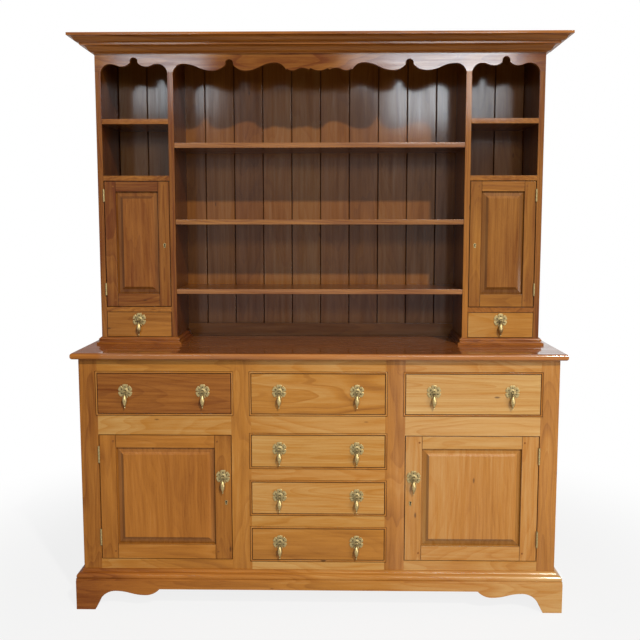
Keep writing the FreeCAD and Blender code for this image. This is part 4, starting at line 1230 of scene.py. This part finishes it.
def petal_plate(reach, thick):
    """The raised plate of a rose, its outline drawn in between the petals."""
    plate = add_primitive(bpy.ops.mesh.primitive_circle_add, vertices=PETALS * PETAL_CORNERS,
                          radius=reach, fill_type="NGON", rotation=(math.pi / 2, 0, 0))
    enter(plate)
    for step, share in GAP_SHARES.items():
        pick(plate, "VERT", lambda point: steps_from_gap(point.co) == step)
        bpy.ops.transform.resize(value=(share, share, share), center_override=(0, 0, 0))
    bpy.ops.mesh.select_mode(type="FACE")
    bpy.ops.mesh.select_all(action="SELECT")
    bpy.ops.mesh.extrude_region_move(TRANSFORM_OT_translate={"value": (0, -thick, 0)})
    bpy.ops.mesh.inset(thickness=thick * 0.8, depth=0)
    bpy.ops.transform.translate(value=(0, -thick * 0.45, 0))
    bpy.ops.mesh.select_all(action="SELECT")
    bpy.ops.mesh.normals_make_consistent(inside=False)
    leave()
    return plate


def pierce(plate, reach):
    """Punch a round hole at the root of each petal."""
    holes = []
    for index in range(PETALS):
        turn = 2 * math.pi * index / PETALS
        place = (reach * HOLES_OUT * math.sin(turn), 0, reach * HOLES_OUT * math.cos(turn))
        bpy.ops.mesh.primitive_cylinder_add(vertices=16, radius=reach * HOLE_RADIUS, depth=reach,
                                            rotation=(math.pi / 2, 0, 0), location=place)
        holes.append(bpy.context.view_layer.objects.active)
    punch = join(holes, "punch")
    cut_away(plate, punch)
    discard(punch)
    ease(plate, 0.3 * MILLIMETRE, angle=40)


def forked_post(pin_out):
    """Two ears, drawn out towards the wood, and the pin between them."""
    ear_radius = 3.4 * MILLIMETRE
    ear_thickness = 2 * MILLIMETRE
    ear_aside = 2.8 * MILLIMETRE
    ear_drawn_out = 1.6 * MILLIMETRE
    pin_radius = 1.05 * MILLIMETRE
    pin_length = 8.6 * MILLIMETRE
    across = (0, math.pi / 2, 0)
    pieces = []
    for side in (-1, 1):
        ear = add_primitive(bpy.ops.mesh.primitive_cylinder_add, vertices=24, radius=ear_radius,
                            depth=ear_thickness, rotation=across, location=(side * ear_aside, -pin_out, 0))
        enter(ear)
        pick(ear, "VERT", lambda point: point.co.y > -pin_out + MILLIMETRE)
        bpy.ops.transform.translate(value=(0, ear_drawn_out, 0))
        leave()
        pieces.append(ear)
    pin = add_primitive(bpy.ops.mesh.primitive_cylinder_add, vertices=20, radius=pin_radius,
                        depth=pin_length, rotation=across, location=(0, -pin_out, 0))
    pieces.append(pin)
    for piece in pieces:
        ease(piece, 0.4 * MILLIMETRE, angle=50)
    return pieces


# Profiles of a rose's turned pieces: shares of its reach, and of its thickness towards the front
SHADE_DISC_PROFILE = [(0, 0), (0.72, 0), (0.72, 0.2), (0.70, 0.3), (0, 0.3)]
BOSS_PROFILE = [
    (0.50, 0.5), (0.50, 1.3), (0.46, 1.75), (0.36, 2.2), (0.27, 2.75), (0.23, 2.8),
    (0.19, 2.5), (0.17, 0.8), (0, 0.8),
]


def model_rose():
    """A rose of six flared petals round a pierced ring and a forked boss, its middle at the origin."""
    pulls = bpy.context.scene.dresser_pulls
    reach = pulls.rose_radius
    thick = pulls.rose_thickness
    plate = petal_plate(reach, thick)
    pierce(plate, reach)
    # a dark disc behind the piercing, painted shade seen through its holes, and a turned dome with an open
    # eye
    shade_disc, boss = [
        lathe(name, [(reach * out, -thick * level) for out, level in profile], Y)
        for name, profile in (("shade_disc", SHADE_DISC_PROFILE), ("boss", BOSS_PROFILE))
    ]
    rose = join([plate, shade_disc, boss, *forked_post(pulls.pin_out)], "rose")

    # Patina in the rose's hollows, and painted shade: the dark disc behind the piercing is darkest
    def hollow(place):
        out = math.hypot(place.x, place.z) / reach
        if place.y > -thick * 0.4:
            return 1.0 if out < 0.75 else 0.5
        if place.y < -thick * 3:
            return 0.15
        if out < 0.2:
            return 1.0
        edge = 0.5 if place.y > -thick * 0.9 else 0.0
        return max(0.9 - abs(out - 0.56) / 0.12, 0.45 if out < 0.5 else 0.12, edge)

    mark_hollow_and_shade(rose, hollow)
    rose.data.materials.append(MATERIALS["brass"])
    return rose


def drop_profile(length, wide, shoulder, foot):
    """The outline of a drop from its eye down: stem, collar, spindle, collar and ball."""
    neck = 1.3 * MILLIMETRE
    waist = 1.7 * MILLIMETRE
    upper_collar = 2.3 * MILLIMETRE
    lower_collar = 2.4 * MILLIMETRE
    ball = 2.2 * MILLIMETRE
    spindle_steps = 18
    ball_steps = 9
    profile = [(0, -2.6 * MILLIMETRE)]
    profile += [(neck, -level * MILLIMETRE) for level in (2.6, 3.4, 6.6, 7.6)]
    profile.append((neck, -shoulder + 2.2 * MILLIMETRE))
    profile += [(upper_collar, -shoulder + level * MILLIMETRE) for level in (1.6, 0.6)]
    profile.append((waist, -shoulder))
    for step in range(1, spindle_steps):
        share = step / spindle_steps
        swell = math.sin(math.pi * share ** 0.96) ** 0.9
        profile.append((waist + (wide - waist) * swell, -shoulder - (foot - shoulder) * share))
    profile.append((waist, -foot))
    profile += [(lower_collar, -foot - level * MILLIMETRE) for level in (0.7, 1.5)]
    profile.append((neck, -foot - 2.2 * MILLIMETRE))
    for step in range(1, ball_steps + 1):
        turn = math.pi * (0.16 + 0.84 * step / ball_steps)
        profile.append((ball * math.sin(turn), -length + ball + ball * math.cos(turn)))
    return profile


def model_drop():
    """A hanging spindle with a ball at its tip and an eye for the pin, the pin at the origin."""
    pulls = bpy.context.scene.dresser_pulls
    length = pulls.drop_length
    shoulder = 0.2 * length
    foot = 0.88 * length
    eye_radius = 2.25 * MILLIMETRE
    eye_wire = 1.05 * MILLIMETRE
    body = lathe("drop", drop_profile(length, pulls.drop_radius, shoulder, foot), Z, steps=28)
    eye = add_primitive(bpy.ops.mesh.primitive_torus_add, major_radius=eye_radius, minor_radius=eye_wire,
                        major_segments=28, minor_segments=12, rotation=(0, math.pi / 2, 0))
    drop = join([body, eye], "drop")

    def hollow(place):
        # painted shade just below the eye, with patina there; patina round the collars
        if place.z > -shoulder + 2.4 * MILLIMETRE:
            return 0.9 if -7 * MILLIMETRE < place.z < -3 * MILLIMETRE else 0.3
        near_collar = min(abs(place.z + shoulder), abs(place.z + foot)) < 1.2 * MILLIMETRE
        return 0.75 if near_collar else 0.0

    mark_hollow_and_shade(drop, hollow)
    drop.data.materials.append(MATERIALS["brass"])
    return drop


def rose_place(solid):
    """The middle of a rose, on the wood that carries it."""
    low, high = box_of(solid)
    return Vector(((low.x + high.x) / 2, high.y, (low.z + high.z) / 2))


class DRESSER_OT_pulls(bpy.types.Operator):
    """Roses and hanging drops on drawers and doors"""

    bl_idname = "dresser.pulls"
    bl_label = "Pulls"

    def execute(self, context):
        rose = model_rose()
        for name in DRAWER_LOOKS:
            node = f"pull_roses_{name}"
            places = [rose_place(solid) for solid in solids_of(node)]
            settle(copy_to(rose, places, f"{node}_brass"), f"drawer_{name}", [node])
        for name in ("base_left", "base_right"):
            *_, last = solids_of(f"door_{name}_brassware")
            settle(copy_to(rose, [rose_place(last)], f"door_{name}_rose"), f"door_{name}")
        drop = model_drop()
        for joint in frame["joints"]:
            if joint["child"].startswith("pull_drop"):
                node = joint["child"]
                settle(copy_to(drop, [Vector(joint["pos_m"])], f"{node}_brass"), node, [node])
        discard(rose, drop)
        return {"FINISHED"}


class DRESSER_OT_hinges(bpy.types.Operator):
    """Hinges, locks and keyhole plates"""

    bl_idname = "dresser.hinges"
    bl_label = "Hinges and locks"

    def execute(self, context):
        self.brass_copies("frame_hinge_leaves", list(solids_of("frame_hinge_leaves")), "cabinet")
        for name in DOOR_TONES:
            node = f"door_{name}_brassware"
            upper, lower, lock, keyhole, *_ = solids_of(node)
            self.brass_copies(node, [upper, lower, lock, keyhole], f"door_{name}")
            self.darken(keyhole, f"door_{name}")
        return {"FINISHED"}

    def brass_copies(self, node, solids, body):
        """Hinge leaves, locks and plates in their CAD form, with rounded edges."""
        pieces = copy_solids(node, solids)
        for piece in pieces:
            ease(piece, 0.25 * MILLIMETRE, angle=50)
            mark_hollow_and_shade(piece, lambda place: 0.25)
            piece.data.materials.append(MATERIALS["brass"])
        settle(join(pieces, f"{node}_brass"), body, [node])

    def darken(self, keyhole, body):
        """A dark sheet of painted shadow in the keyhole plate's hole: a round and a slot below it."""
        low, high = box_of(keyhole)
        round_radius = 2.7 * MILLIMETRE
        half_slot = 1.35 * MILLIMETRE
        thickness = 0.4 * MILLIMETRE
        out_of_wood = 0.25 * MILLIMETRE
        plate_radius = (high.x - low.x) / 2
        centre = Vector(((low.x + high.x) / 2, high.y - out_of_wood, high.z - plate_radius))
        hole = add_primitive(bpy.ops.mesh.primitive_cylinder_add, vertices=24, radius=round_radius,
                             depth=thickness, rotation=(math.pi / 2, 0, 0), location=centre)

        def over_slot(face):
            return face.normal.z < -0.7 and abs(face.calc_center_median().x - centre.x) < half_slot

        enter(hole)
        pick(hole, "FACE", over_slot)
        drop = low.z + plate_radius * 0.45 - (centre.z - round_radius)
        bpy.ops.mesh.extrude_region_move(TRANSFORM_OT_translate={"value": (0, 0, drop)})
        leave()
        ease(hole, 0.05 * MILLIMETRE, segments=1, angle=60)
        hole.data.materials.append(MATERIALS["hole"])
        hole.name = f"{body}_keyhole"
        settle(hole, body)


# Studio

class DRESSER_OT_studio(bpy.types.Operator):
    """Floor, room light, lamps and camera"""

    bl_idname = "dresser.studio"
    bl_label = "Studio"

    def execute(self, context):
        studio = context.scene.dresser_studio
        context.scene.view_settings.view_transform = "Standard"
        self.lay_floor(studio)
        self.light_room(context.scene, studio)
        warm = (1.0, 0.96, 0.90)
        daylight = (0.82, 0.92, 1.0)
        wide, narrow = math.radians(180), math.radians(50)
        # name, place, aim, width, height, power, colour, beam
        lamps = (
            ("key", (3.2, -7.0, 6.8), (0, 0, 1.0), 0.32, 0.26, studio.key, warm, wide),
            ("right_window", (1.0, -4.0, 2.5), (0, 0, 1.2), 1.0, 0.6, studio.right_window, daylight, wide),
            ("top_light", (0.34, -4.0, 2.68), (0, 0, 1.2), 0.42, 0.25, studio.top_light, daylight, wide),
            ("left_window", (-1.35, -4.0, 2.56), (0, 0, 1.2), 0.75, 0.5, studio.left_window, daylight, wide),
            ("low_fill", (2.3, -1.9, 0.6), (0.2, -0.2, 0.4), 0.9, 0.9, studio.low_fill, warm, narrow),
        )
        for lamp in lamps:
            self.hang_lamp(context.scene, *lamp)
        self.set_camera(context.scene, studio)
        return {"FINISHED"}

    def lay_floor(self, studio):
        """A pale round floor that fades to white and keeps the dresser's shadow."""
        floor = add_primitive(bpy.ops.mesh.primitive_circle_add, vertices=96, radius=7, fill_type="NGON")
        floor.name = "studio_floor"
        material, shader, shade = new_material("pale_floor")
        shader.inputs["Roughness"].default_value = 0.9
        shader.inputs["Specular IOR Level"].default_value = 0.1
        shader.inputs["Base Color"].default_value = (*studio.floor, 1)
        place = shade.node("ShaderNodeTexCoord", {}, {}, output="Object")
        distance = shade.node("ShaderNodeVectorMath", {"operation": "LENGTH"}, {0: place}, output="Value")
        white = shade.node("ShaderNodeEmission", {}, {"Color": (1, 1, 1, 1), "Strength": 1.0})
        paleness = 0.84 + 0.16 * distance.between(1.0, 2.2)
        seen = self.seen(shade)
        lit = Shade(shade.tree, shader.outputs[0])
        mix = shade.node("ShaderNodeMixShader", {}, {0: paleness * seen, 1: lit, 2: white})
        output = material.node_tree.nodes["Material Output"]
        shade.tree.links.new(mix.socket, output.inputs["Surface"])
        floor.data.materials.append(material)

    def seen(self, shade):
        """1 for rays that show the background itself or its mirror image, and 0 for its light."""
        rays = [shade.node("ShaderNodeLightPath", {}, {}, output=name)
                for name in ("Is Camera Ray", "Is Glossy Ray", "Is Transmission Ray")]
        return shade.math("ADD", rays[0] + rays[1], rays[2], clamp=True)

    def light_room(self, scene, studio):
        """An even, dim room that looks white where it is seen."""
        world = bpy.data.worlds.new("studio_room")
        scene.world = world
        world.use_nodes = True
        shade = Shade(world.node_tree)
        warm_white = (1.0, 0.985, 0.96, 1)
        soft = shade.node("ShaderNodeBackground", {}, {"Color": warm_white, "Strength": studio.sky})
        white = shade.node("ShaderNodeBackground", {}, {"Color": (1, 1, 1, 1), "Strength": 1.0})
        mix = shade.node("ShaderNodeMixShader", {}, {0: self.seen(shade), 1: soft, 2: white})
        world.node_tree.links.new(mix.socket, world.node_tree.nodes["World Output"].inputs["Surface"])

    def hang_lamp(self, scene, name, place, aim, width, height, power, colour, beam):
        """A soft lamp at a place, turned towards its aim."""
        lamp = bpy.data.lights.new(name, "AREA")
        lamp.shape = "RECTANGLE"
        lamp.size = width
        lamp.size_y = height
        lamp.energy = power
        lamp.color = colour
        lamp.spread = beam
        holder = bpy.data.objects.new(name, lamp)
        holder.location = place
        holder.rotation_euler = (Vector(aim) - Vector(place)).to_track_quat("-Z", "Y").to_euler()
        scene.collection.objects.link(holder)

    def set_camera(self, scene, studio):
        """A camera at the photograph's viewing angle."""
        camera = bpy.data.cameras.new("camera")
        camera.sensor_width = 36
        camera.lens = studio.lens
        holder = bpy.data.objects.new("camera", camera)
        holder.location = studio.camera_place
        holder.rotation_euler = (math.pi / 2 - studio.camera_pitch, 0, studio.camera_turn)
        scene.collection.objects.link(holder)
        scene.camera = holder


# The add-on's parts

PIECE_OPERATORS = (
    DRESSER_OT_base_carcass, DRESSER_OT_base_frame, DRESSER_OT_plinth, DRESSER_OT_worktop,
    DRESSER_OT_rack, DRESSER_OT_drawers, DRESSER_OT_doors, DRESSER_OT_pulls, DRESSER_OT_hinges,
    DRESSER_OT_studio,
)
SETTINGS = {
    "dresser_woodwork": DresserWoodwork,
    "dresser_finish": DresserFinish,
    "dresser_pulls": DresserPulls,
    "dresser_studio": DresserStudio,
}


class DRESSER_PT_panel(bpy.types.Panel):
    """Lists the settings and the makers of the pieces"""

    bl_idname = "DRESSER_PT_panel"
    bl_label = "Open Dresser"
    bl_space_type = "VIEW_3D"
    bl_region_type = "UI"
    bl_category = "Dresser"

    def draw(self, context):
        for name in SETTINGS:
            group = getattr(context.scene, name)
            box = self.layout.box()
            for setting in group.__annotations__:
                box.prop(group, setting)
        for maker in PIECE_OPERATORS:
            self.layout.operator(maker.bl_idname)


CLASSES = (*SETTINGS.values(), *PIECE_OPERATORS, DRESSER_PT_panel)


def register():
    """Make the classes known to Blender, and give the scene its settings."""
    for item in CLASSES:
        bpy.utils.register_class(item)
    for name, group in SETTINGS.items():
        setattr(bpy.types.Scene, name, bpy.props.PointerProperty(type=group))


def unregister():
    """Take settings and classes away again."""
    for name in SETTINGS:
        delattr(bpy.types.Scene, name)
    for item in reversed(CLASSES):
        bpy.utils.unregister_class(item)


def main():
    """Make the materials, then every piece in order."""
    register()
    bpy.ops.object.select_all(action="DESELECT")
    make_materials()
    for maker in PIECE_OPERATORS:
        group, name = maker.bl_idname.split(".")
        getattr(getattr(bpy.ops, group), name)()


if __name__ == "__main__":
    main()
